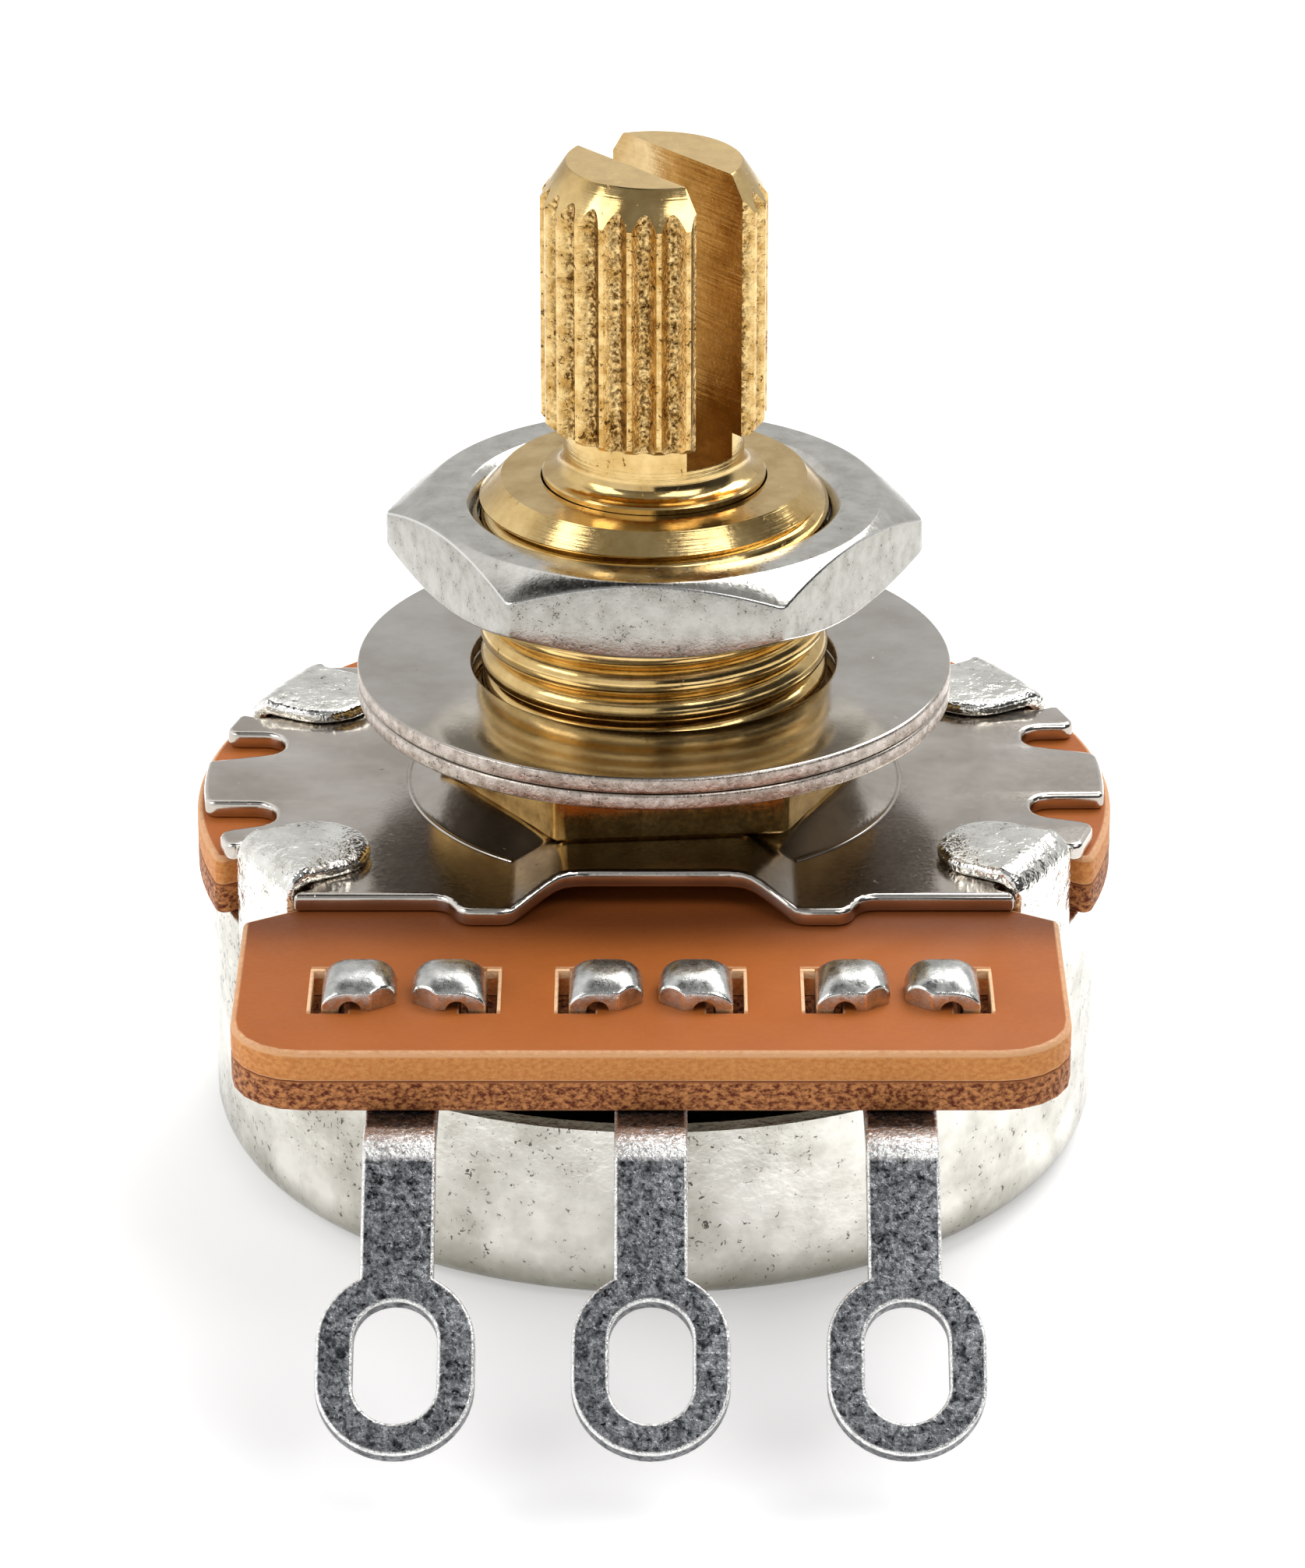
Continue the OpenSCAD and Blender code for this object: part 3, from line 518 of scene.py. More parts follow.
def combine(bm, tool, operation="DIFFERENCE"):
    """Boolean of two bmeshes. Both are used up, and the result is a new one."""
    objects = []
    for part in (bm, tool):
        bmesh.ops.recalc_face_normals(part, faces=part.faces)
        mesh = bpy.data.meshes.new("working")
        part.to_mesh(mesh)
        part.free()
        objects.append(bpy.data.objects.new("working", mesh))
        bpy.context.scene.collection.objects.link(objects[-1])
    step = objects[0].modifiers.new("cut", "BOOLEAN")
    step.operation = operation
    step.solver = "EXACT"
    step.object = objects[1]
    graph = bpy.context.evaluated_depsgraph_get()
    result = bmesh.new()
    result.from_mesh(objects[0].evaluated_get(graph).data)
    for done in objects:
        mesh = done.data
        bpy.data.objects.remove(done)
        bpy.data.meshes.remove(mesh)
    if not result.faces:
        raise RuntimeError("a cut left nothing")
    return result


def join(bm, other):
    """Adds another bmesh's geometry to the first, and frees the other."""
    mesh = bpy.data.meshes.new("working")
    other.to_mesh(mesh)
    other.free()
    bm.from_mesh(mesh)
    bpy.data.meshes.remove(mesh)


def block(low, high):
    """A box bmesh between two corners."""
    bm = bmesh.new()
    bmesh.ops.create_cube(bm, size=1.0)
    bmesh.ops.scale(bm, vec=[b - a for a, b in zip(low, high)], verts=bm.verts)
    move(bm, [(a + b) / 2 for a, b in zip(low, high)])
    return bm


def rod(radius, low, high, segments=96):
    """A plain cylinder bmesh along Z, for cutting."""
    return turned(segments, [circle(radius, low), circle(radius, high)])


def prism(points, shift):
    """A bmesh of a flat outline that is pushed along a vector."""
    bm = bmesh.new()
    face = bm.faces.new([bm.verts.new(p) for p in points])
    grown = bmesh.ops.extrude_face_region(bm, geom=[face])["geom"]
    bmesh.ops.translate(bm, vec=shift, verts=[g for g in grown if isinstance(g, bmesh.types.BMVert)])
    return bm


def rounded(corners, steps=5):
    """Outline through corners given as (x, y, radius), each turned into an arc."""
    points = []
    count = len(corners)
    for i, (x, y, radius) in enumerate(corners):
        here = Vector((x, y))
        before = Vector(corners[i - 1][:2]) - here
        after = Vector(corners[(i + 1) % count][:2]) - here
        if radius <= 0 or before.length < 1e-6 or after.length < 1e-6:
            points.append(here)
            continue
        room = min(before.length, after.length) * 0.49
        before.normalize()
        after.normalize()
        half = before.angle(after) / 2
        if abs(half - math.pi / 2) < 0.02:
            points.append(here)
            continue
        run = min(radius / math.tan(half), room)
        middle = here + (before + after).normalized() * (run * math.tan(half) / math.sin(half))
        first = here + before * run - middle
        sweep = first.angle_signed(here + after * run - middle)
        for k in range(steps + 1):
            points.append(middle + Matrix.Rotation(-sweep * k / steps, 2) @ first)
    return points


def sheet(outline, thickness, edge, top_edge=None):
    """A flat blank with rounded edges, from z 0 to its thickness. The edges carry the attribute "edge"."""
    bm = prism([(p.x, p.y, 0.0) for p in outline], (0, 0, thickness))
    bmesh.ops.recalc_face_normals(bm, faces=bm.faces)
    for height, size in ((0.0, edge), (thickness, top_edge or edge)):
        rims = [e for e in bm.edges if all(abs(v.co.z - height) < 1e-6 for v in e.verts)]
        mark_rounding(bm, soften(bm, rims, size, 3 if size < BROAD_EDGE else 5))
    return bm


def slice_sheet(bm, normal, places):
    """Cuts a blank across at each place along a direction, so that it can bend there."""
    for place in places:
        cut(bm, [c * place for c in normal], normal)


def span(start, end, step):
    """Even places from start to end, about a step apart."""
    count = max(1, round(abs(end - start) / step))
    return [start + (end - start) * i / count for i in range(count + 1)]


def bend(bm, change):
    """Moves every vertex to where a function of its place puts it."""
    for v in bm.verts:
        v.co = change(v.co)


# Pieces

TAB_ANGLES = (210.0, -30.0, 152.0, 31.0)
TAB_WIDTH = 3.1
TAB_LAP = 2.4
SHEET = 0.5


def both_sides(side, right, left):
    """Outline from the corners of a right half, taken once for each half with its own setting and tab angles."""
    corners = side(right, -TAB_ANGLES[1], TAB_ANGLES[3])
    mirrored = side(left, TAB_ANGLES[0] - 180, 180 - TAB_ANGLES[2])
    return rounded(corners + [(-x, y, r) for x, y, r in mirrored[::-1]])


class POT_OT_cover(bpy.types.Operator):
    """Draws the can, opens its front and bends its four tabs over the front plate"""

    bl_idname = "pot.cover"
    bl_label = "Can and tabs"

    facets = 256
    sill = 5.25
    half_window = 8.75
    round_bottom = 1.1
    # Tabs: how low they start inside the wall, inner radius of their bend, crown and share of the sheet's edge
    tab_root = 0.8
    tab_bend = 0.3
    crown = 0.09
    tab_edge = 1.9
    # Spacing of the cuts along the bend and across the tab
    bend_step = 0.1
    across_step = 0.4

    def execute(self, context):
        edge = context.scene.pot_sizes.sheet_edge / MM
        outer = CAN_R
        inner = CAN_R - SHEET
        bottom = self.round_bottom
        rings = (corner(outer - bottom, bottom, bottom, -90, 10) + corner(outer - edge, Z_BOARD - edge, edge, 0)
                 + corner(inner + edge, Z_BOARD - edge, edge, 90))
        inside = corner(inner - bottom + SHEET, bottom, bottom - SHEET, -90, 8)
        window = block((-self.half_window, -2 * outer, self.sill), (self.half_window, -outer / 2, Z_BOARD + 1))
        bm = combine(turned(self.facets, rings + inside[::-1]), window)
        bm.verts.layers.float.new("edge")
        for angle in TAB_ANGLES:
            join(bm, self.tab(angle, edge * self.tab_edge))
        make_piece("can", bm, "housing", "tinned_steel", "mottled tin plate", "cover",
                   # The tabs get a lighter tin that paints the light falling on them
                   also=[("pressed tin painted lighter", lambda f: f.calc_center_median().z > Z_BOARD)])
        return {"FINISHED"}

    def tab(self, angle, edge):
        """One tab: up the wall, over a bend and in across the plate."""
        half = TAB_WIDTH / 2
        bend_r = self.tab_bend
        plate_top = Z_TAB_TOP - SHEET
        rise = plate_top - bend_r - Z_BOARD + self.tab_root
        arc = (bend_r + SHEET / 2) * math.pi / 2
        length = rise + arc + TAB_LAP
        ends = [(-half, 0, 0), (half, 0, 0), (half, length, half), (-half, length, half)]
        bm = sheet(rounded(ends, 10), SHEET, edge)
        slice_sheet(bm, ALONG_Y, span(rise, rise + arc, self.bend_step))
        slice_sheet(bm, ALONG_X, span(-half, half, self.across_step)[1:-1])
        wall = CAN_R - SHEET
        turn = Matrix.Rotation(math.radians(angle), 3, "Z")
        start = Z_BOARD - self.tab_root

        def place(co):
            across, along, depth = co
            if along <= rise:
                radius, height = wall + depth, start + along
            elif along <= rise + arc:
                t = (along - rise) / arc * math.pi / 2
                radius = wall - bend_r + (bend_r + depth) * math.cos(t)
                height = start + rise + (bend_r + depth) * math.sin(t)
            else:
                lap = along - rise - arc
                radius, height = wall - bend_r - lap, plate_top + depth
                height -= self.crown * ((across / half) ** 2 + (lap / TAB_LAP) ** 2) * depth / SHEET
            sag = CAN_R - math.sqrt(CAN_R ** 2 - across ** 2)
            return turn @ Vector((radius - sag, across, height))

        bend(bm, place)
        return bm


LUG_NODES = ("left_lug", "centre_lug", "right_lug")
LUG_PLACES = [sum(point[0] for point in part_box(node)) / 2 / MM for node in LUG_NODES]
LUG_SHEET = 0.5
LUG_LOW = Z_BOARD - 0.05 - LUG_SHEET
PRONG_Y = -BAR_FRONT + 3.35
PRONG_WIDTH = 1.95
PRONG_HALF = 1.98
PRONG_TIP = 0.19
PRONG_TOP = level("left_lug", True)
PRONG_OUT = PRONG_HALF + 0.15
SLOT_IN = PRONG_HALF - LUG_SHEET - 0.04
SLOT_OUT = PRONG_HALF + 0.46
SLOT_FRONT = PRONG_Y - PRONG_WIDTH / 2 - 0.08
SLOT_BACK = PRONG_Y + PRONG_WIDTH / 2 + 0.62
# Least turn of a punched rim's edges, in radians
RIM_TURN = 1.2


class POT_OT_boards(bpy.types.Operator):
    """Cuts the two phenolic boards with their tab notches and prong slots"""

    bl_idname = "pot.boards"
    bl_label = "Phenolic boards"

    bar_half = 10.85
    bar_shift = -0.08
    bar_corner = 1.9
    notch = 1.7
    front_relief = 0.4
    notch_floor = 11.65
    # Rounding of a notch's four corners, and degrees that the round edge keeps from it
    notch_rounds = (0.25, 0.2, 0.2, 0.25)
    notch_margin = 3.0
    rim = 0.07
    top_rim = 0.17
    holes = (3.7, 5.9)
    # Torn lip of a slot: width, height over the board, depth in it and how far its end laps round the corner
    lip = 0.1
    lip_rise = 0.05
    lip_root = 0.2
    lip_lap = 0.3

    def side(self, bar, front, rear):
        """Corners of the right half, with its bar's half width and the angles of its two notches."""
        corners = [(bar, -BAR_FRONT, self.bar_corner)]
        for angle, extra in ((-front, self.front_relief), (rear, 0.0)):
            along = Vector(polar(1.0, angle))
            across = Vector((-along.y, along.x))
            floor = along * self.notch_floor
            before, after = floor - across * self.notch, floor + across * (self.notch + extra)
            if angle < 0:
                low = before + along * ((bar - before.x) / along.x)
            else:
                corners += self.arc(-front, rear, self.front_relief)
                low = along * math.sqrt(BOARD_R ** 2 - self.notch ** 2) - across * self.notch
            high = along * math.sqrt(BOARD_R ** 2 - (self.notch + extra) ** 2) + across * (self.notch + extra)
            corners += [(*point, r) for point, r in zip((low, before, after, high), self.notch_rounds)]
        return corners + self.arc(rear, 90.0 + math.degrees(math.asin(self.notch / BOARD_R)), 0.0)

    def arc(self, start, end, extra):
        """Points of the round edge between two angles, clear of the notches there."""
        gap = math.degrees(math.asin(self.notch / BOARD_R))
        first = start + gap + math.degrees(extra / BOARD_R) + self.notch_margin
        return [(*polar(BOARD_R, a), 0) for a in span(first, end - gap - self.notch_margin, ARC_STEP)]

    def execute(self, context):
        outline = both_sides(self.side, self.bar_half + self.bar_shift, self.bar_half - self.bar_shift)
        low_hole, top_hole = self.holes
        for node, low, high, hole, rim, slot, look in (
                ("element_board", Z_BOARD, Z_JOINT, low_hole, self.rim, "dark_phenolic", "dark phenolic laminate"),
                ("terminal_board", Z_JOINT, Z_PLATE, top_hole, self.top_rim, "phenolic", "phenolic laminate")):
            bm = sheet(outline, high - low, self.rim, rim)
            move(bm, (0, 0, low))
            bm = combine(bm, rod(hole, low - 1, high + 1))
            for x in LUG_PLACES:
                for near, far in ((x - SLOT_OUT, x - SLOT_IN), (x + SLOT_IN, x + SLOT_OUT)):
                    bm = combine(bm, block((near, SLOT_FRONT, low - 1), (far, SLOT_BACK, high + 1)))
            rims = [e for e in sharp_edges(bm, RIM_TURN, self.in_slot)
                    if abs(e.verts[0].co.z - e.verts[1].co.z) < 1e-4]
            mark_rounding(bm, soften(bm, rims, self.rim, 2))
            if node == "terminal_board":
                for x in LUG_PLACES:
                    for side in (-1, 1):
                        self.add_lips(bm, x, side)
            make_piece(node + "_laminate", bm, "housing", slot, look, node)
        return {"FINISHED"}

    def in_slot(self, co):
        """Whether a point lies on the rim of a slot."""
        beside = min(abs(co.x - x) for x in LUG_PLACES)
        return SLOT_IN - 0.01 < beside < SLOT_OUT + 0.01 and SLOT_FRONT - 0.01 < co.y < SLOT_BACK + 0.01

    def add_lips(self, bm, x, side):
        """The bright lip that the punch tore up round the outer end of one slot."""
        lip, lap = self.lip, self.lip_lap
        outer = SLOT_OUT - 0.3 * lip
        for low, high in (((outer, SLOT_FRONT), (outer + lip, SLOT_BACK - lap)),
                          ((outer - lap, SLOT_BACK - lap), (outer + lip, SLOT_BACK - lap + 1.5 * lip))):
            bead = block((*low, Z_PLATE - self.lip_root), (*high, Z_PLATE + self.lip_rise))
            soften(bead, bead.edges[:], 0.4 * lip, 2, clamp=True)
            layer = bead.verts.layers.float.new("edge")
            for v in bead.verts:
                # Twice the mark of a rounded rim, so that the lip shows pale between its fibres too
                v[layer] = 2.0
            bmesh.ops.scale(bead, vec=(side, 1, 1), verts=bead.verts)
            move(bead, (x, 0, 0))
            join(bm, bead)


class POT_OT_front_plate(bpy.types.Operator):
    """Stamps the front plate: outline, raised seat and the arch that leads to its front edge"""

    bl_idname = "pot.front_plate"
    bl_label = "Front plate"

    radius = 12.45
    front = 7.75
    rear = 7.6
    # Rear corner: how far it is drawn back from the round edge, and its rounding
    rear_corner = (0.35, 0.3)
    lip = 0.9
    lip_end = 5.15
    lip_step = 5.55
    tip_back = 0.1
    # Rounding of the five corners of the front edge, from the arch outwards
    front_rounds = (2.0, 0.9, 0.5, 0.55, 0.45)
    arch_half = 2.5
    arch_foot = 3.8
    arch_draw = 1.15
    seat_r = 5.6
    foot_r = 6.75
    seat_h = 0.6
    notch = 1.7
    notch_floor = 11.48
    notch_rounds = (0.2, 0.35, 0.35, 0.3)
    # The front notch's first lip is drawn back, and the rear notch's second ends short of the rear edge
    notch_draw = 0.35
    notch_margin = 0.4
    notch_short = 0.3
    # Relief slots: distance of each pair from its middle, depth, offsets of their four corners and rounding
    relief_half = 2.33
    relief_deep = 2.1
    relief_mouth = (-1.1, 0.75)
    relief_floor = (-0.55, 0.72)
    relief_rounds = (0.4, 0.62, 0.62, 0.35)
    shift_left = -0.2
    shift_right = 0.35
    # Half of the round edge between two relief slots, in degrees
    tongue = 4.0
    hole_r = 4.22
    edge_share = 1.4
    # Shares of the press rounding at the foot of the seat and at its brow
    foot_share = 0.4
    brow_share = 1.6
    # Reach of the pressed form from the axis, on all sides and in front
    press_reach = 7.2
    press_front = 8.6
    bead_r = 0.08
    bead_off = 0.03
    bead_steps = 160
    # Stop tooth: half width, reach before and behind the arm's swing, and drop below the arm's top
    tooth = (1.0, 0.8, 0.3, 0.8)

    def side(self, shift, front, rear):
        """Corners of the right half, with the shift of its relief slots and the angles of its notches."""
        lip_y = -self.front - self.lip
        tip_x = math.sqrt(self.radius ** 2 - self.front ** 2) - self.tip_back
        places = ((self.arch_half, lip_y + self.arch_draw), (self.arch_foot, lip_y), (self.lip_end, lip_y),
                  (self.lip_step, -self.front), (tip_x, -self.front))
        corners = [(*place, r) for place, r in zip(places, self.front_rounds)]
        corners += self.notch_corners(-front, self.notch_draw)
        corners += self.relief_corners(shift - self.relief_half)
        corners += [(*polar(self.radius, a), 0) for a in span(-self.tongue, self.tongue, ARC_STEP)]
        corners += self.relief_corners(shift + self.relief_half)
        corners += self.notch_corners(rear, 0.0)
        back, round_of = self.rear_corner
        return corners + [(math.sqrt(self.radius ** 2 - self.rear ** 2) - back, self.rear, round_of)]

    def notch_corners(self, angle, draw):
        """Corners of the notch for one tab."""
        along = Vector(polar(1.0, angle))
        across = Vector((-along.y, along.x)) * self.notch
        floor = along * self.notch_floor
        lip = math.sqrt(self.radius ** 2 - self.notch ** 2)
        low = along * (lip - draw) - across
        high = along * lip + across
        if high.y > self.rear - self.notch_margin:
            high = floor + across + along * self.notch_short
        return [(*point, r) for point, r in zip((low, floor - across, floor + across, high), self.notch_rounds)]

    def relief_corners(self, y):
        """Corners of one relief slot, whose front edge slants outwards."""
        end = self.radius - self.relief_deep
        low, high = ((math.sqrt(self.radius ** 2 - (y + off) ** 2), y + off) for off in self.relief_mouth)
        inner = [(end, y + off) for off in self.relief_floor]
        return [(*point, r) for point, r in zip((low, *inner, high), self.relief_rounds)]

    def rise(self, x, y, soft):
        """Height of the pressed seat and arch above the flat of the plate."""
        seat_t = (self.foot_r - math.hypot(x, y)) / (self.foot_r - self.seat_r)
        arch_t = (self.arch_foot - abs(x)) / (self.arch_foot - self.arch_half) if y < 0 else -1.0
        t = max(seat_t, arch_t)
        foot, brow = self.foot_share * soft, self.brow_share * soft
        if t < -foot:
            share = 0.0
        elif t < foot:
            share = (t + foot) ** 2 / (4 * foot)
        elif t < 1 - brow:
            share = t
        else:
            share = 1 - max(1 + brow - t, 0.0) ** 2 / (4 * brow)
        return self.seat_h * share

    def bead(self):
        """The fine ridge that the press leaves round the foot of the seat, up to the arch."""
        bm = bmesh.new()
        bmesh.ops.create_circle(bm, cap_ends=False, segments=12, radius=self.bead_r)
        rotate(bm, math.pi / 2, "X")
        move(bm, (self.foot_r + self.bead_off, 0, Z_PLATE + SHEET - self.bead_off))
        gap = math.asin(self.arch_foot / self.foot_r)
        rotate(bm, gap - math.pi / 2, "Z")
        bmesh.ops.spin(bm, geom=bm.verts[:] + bm.edges[:], cent=(0, 0, 0), axis=(0, 0, 1),
                       angle=2 * (math.pi - gap), steps=self.bead_steps)
        bmesh.ops.holes_fill(bm, edges=bm.edges, sides=0)
        return bm

    def execute(self, context):
        sizes = context.scene.pot_sizes
        outline = both_sides(self.side, self.shift_right, self.shift_left)
        bm = sheet(outline, SHEET, sizes.sheet_edge / MM * self.edge_share)
        grid = sizes.plate_grid / MM
        slice_sheet(bm, ALONG_X, span(-self.press_reach, self.press_reach, grid))
        slice_sheet(bm, ALONG_Y, span(-self.press_front, self.press_reach, grid))
        soft = sizes.press_round / MM / 2
        bend(bm, lambda co: Vector((co.x, co.y, co.z + Z_PLATE + self.rise(co.x, co.y, soft))))
        top = Z_PLATE + SHEET + self.seat_h
        bm = combine(bm, rod(self.hole_r, Z_PLATE, top + 1))
        half, before, behind, drop = self.tooth
        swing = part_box("stop_arm")[0][1] / -MM
        join(bm, block((-half, swing - before, Z_ARM_TOP - drop), (half, swing + behind, top - SHEET / 2)))
        join(bm, self.bead())
        make_piece("front_plate_sheet", bm, "housing", "plate_steel", "satin plate steel", "front_plate",
                   sharp=50)
        return {"FINISHED"}


class POT_OT_bushing(bpy.types.Operator):
    """Turns the bushing: hexagon, helical thread with its chamfered start, bore and staked spigot"""

    bl_idname = "pot.bushing"
    bl_label = "Threaded bushing"

    thread_r = 4.7625
    thread_steps = 96
    # Shares of one turn at which the thread's profile is drawn, and how blunt its crest is
    thread_shares = (0.0, 0.04, 0.1, 0.2, 0.35, 0.5, 0.65, 0.8, 0.9, 0.96, 1.0)
    crest_power = 2.6
    # How far the barrel reaches into the hexagon, and how much of it is cut off again
    thread_root = 0.3
    thread_spare = 0.2
    bore_r = 3.08
    chamfer = 0.6
    groove_below = 0.68
    across = 10.85
    turn = 5.0
    hex_slope = 30.0
    hex_edge = 0.2
    hex_foot = 0.08
    # Width and height of the step at the top of the hexagon
    hex_rim = (0.05, 0.02)
    spigot_r = 4.2
    spigot_lap = 0.2
    # Staked rim of the spigot: overhang, height, and width and height of its chamfer
    stake = (0.5, 0.25)
    stake_chamfer = (0.05, 0.1)

    def execute(self, context):
        sizes = context.scene.pot_sizes
        bm = self.thread(sizes.thread_pitch / MM, sizes.thread_depth / MM)
        bore, foot = self.bore_r, self.hex_foot
        rim_in, rim_down = self.hex_rim
        seat = Z_PLATE + SHEET + POT_OT_front_plate.seat_h
        slope = math.tan(math.radians(self.hex_slope))

        def flat(angle):
            return hex_radius(angle, self.across, self.turn, self.hex_edge)

        def top(angle):
            drop = (flat(angle) - self.across / 2) * slope
            return flat(angle), Z_WASHER - drop - rim_down

        join(bm, turned(288, [
            circle(bore, seat), lambda a: (flat(a) - foot, seat), lambda a: (flat(a), seat + foot), top,
            circle(self.across / 2 - rim_in, Z_WASHER), circle(bore, Z_WASHER)], cap=False))
        over, high = self.stake
        back, up = self.stake_chamfer
        rim = self.spigot_r + over
        join(bm, turned(128, [
            circle(bore, Z_STAKE), circle(rim - back, Z_STAKE), circle(rim, Z_STAKE + up),
            circle(rim, Z_STAKE + high), circle(self.spigot_r, Z_STAKE + high),
            circle(self.spigot_r, seat + self.spigot_lap), circle(bore, seat + self.spigot_lap)], cap=False))
        make_piece("bushing_brass", bm, "housing", "brass", "turned brass", "bushing", sharp=40,
                   also=(("darker hexagon brass", lambda f: f.calc_center_median().z < Z_WASHER - 0.001),))
        return {"FINISHED"}

    def thread(self, pitch, depth):
        """Barrel with a real helix, cut to length and chamfered."""
        low = Z_WASHER - self.thread_root
        steps = self.thread_steps
        turns = math.ceil((Z_BARREL - low) / pitch) + 3
        groove = Z_BARREL - self.groove_below
        start = groove - pitch * math.ceil((groove - low) / pitch + 1)
        root = self.thread_r - depth
        bm = bmesh.new()
        points = [bm.verts.new((0, -root - depth * (1 - abs(2 * t - 1) ** self.crest_power), start + t * pitch))
                  for t in self.thread_shares]
        line = [bm.edges.new(pair) for pair in zip(points, points[1:])]
        bmesh.ops.spin(bm, geom=points + line, cent=(0, 0, 0), axis=(0, 0, 1), dvec=(0, 0, pitch / steps),
                       angle=2 * math.pi * turns, steps=steps * turns, use_duplicate=False)
        bmesh.ops.remove_doubles(bm, verts=bm.verts, dist=0.004)
        for height, outward in ((low, -1), (Z_BARREL + self.thread_spare, 1)):
            cut(bm, (0, 0, height), (0, 0, outward), clear=True)
        wide = self.thread_r + 1
        limit = turned(192, [circle(wide, low - 1), circle(wide, Z_BARREL - self.chamfer - 1),
                             circle(self.thread_r - self.chamfer, Z_BARREL)])
        bm = combine(bm, limit, "INTERSECT")
        return combine(bm, rod(self.bore_r, low - 1, Z_BARREL + 1, 128))


class POT_OT_washers(bpy.types.Operator):
    """Presses the two washers"""

    bl_idname = "pot.washers"
    bl_label = "Washers"

    outer = 8.15
    inner = 5.01
    # Half of the gap that keeps two faces which lie on each other apart
    film = 0.006

    def execute(self, context):
        edge = context.scene.pot_sizes.sheet_edge / MM
        for name, body, low, high, node in (
                ("washer_below", "washer_lower", Z_WASHER, Z_WASHER_MID, "lower_washer"),
                ("washer_above", "washer_upper", Z_WASHER_MID, Z_WASHER_TOP, "upper_washer")):
            outer, inner = self.outer - edge, self.inner + edge
            low, high = low + self.film + edge, high - self.film - edge
            rings = (corner(outer, low, edge, -90) + corner(outer, high, edge, 0)
                     + corner(inner, high, edge, 90) + corner(inner, low, edge, 180))
            make_piece(name, turned(192, rings, cap=False), body, "washer_steel", "washer steel", node,
                       # The undersides get a dark steel that paints the shade beneath the washers
                       also=(("steel in painted shade", lambda f: f.normal.z < -0.9),
                             ("tumbled rim", lambda f: abs(f.normal.z) < 0.8)))
        return {"FINISHED"}


class POT_OT_nut(bpy.types.Operator):
    """Mills the hexagon nut with both chamfers and its countersunk bore"""

    bl_idname = "pot.nut"
    bl_label = "Hexagon nut"

    across = 12.7
    corner_edge = 0.22
    face_r = 6.2
    slope = 30.0
    turn = -2.0
    bore = 4.8025
    sink = 0.35
    rim = 0.05
    # Edges to be rounded turn by more than this, in degrees
    rim_turn = 30.0

    def execute(self, context):
        drop = math.tan(math.radians(self.slope))
        mouth = self.bore + self.sink

        def flat(angle):
            return hex_radius(angle, self.across, self.turn, self.corner_edge)

        def chamfer(angle):
            return (flat(angle) - self.face_r) * drop

        bm = turned(360, [
            circle(self.bore, Z_NUT + self.sink), circle(mouth, Z_NUT), circle(self.face_r, Z_NUT),
            lambda a: (flat(a), Z_NUT + chamfer(a)), lambda a: (flat(a), Z_NUT_TOP - chamfer(a)),
            circle(self.face_r, Z_NUT_TOP), circle(mouth, Z_NUT_TOP), circle(self.bore, Z_NUT_TOP - self.sink)],
            cap=False)
        # The edges that run round the nut are short and nearly level
        rims = [e for e in sharp_edges(bm, math.radians(self.rim_turn), lambda co: True)
                if abs(e.verts[0].co.z - e.verts[1].co.z) < 0.2 and e.calc_length() < 0.4]
        soft = soften(bm, rims, self.rim, 2)
        # Only the outer rims are marked, so only they get the nickel's painted highlight
        mark_rounding(bm, [f for f in soft if f.calc_center_median().xy.length > self.face_r + 0.06])
        make_piece("nut_nickel", bm, "nut", "nickel", "pitted nickel", "hex_nut", sharp=30,
                   # The flats get a greyer, darker nickel that paints shade on them
                   also=(("nickel flats in painted shade", lambda f: abs(f.normal.z) < 0.3),))
        return {"FINISHED"}


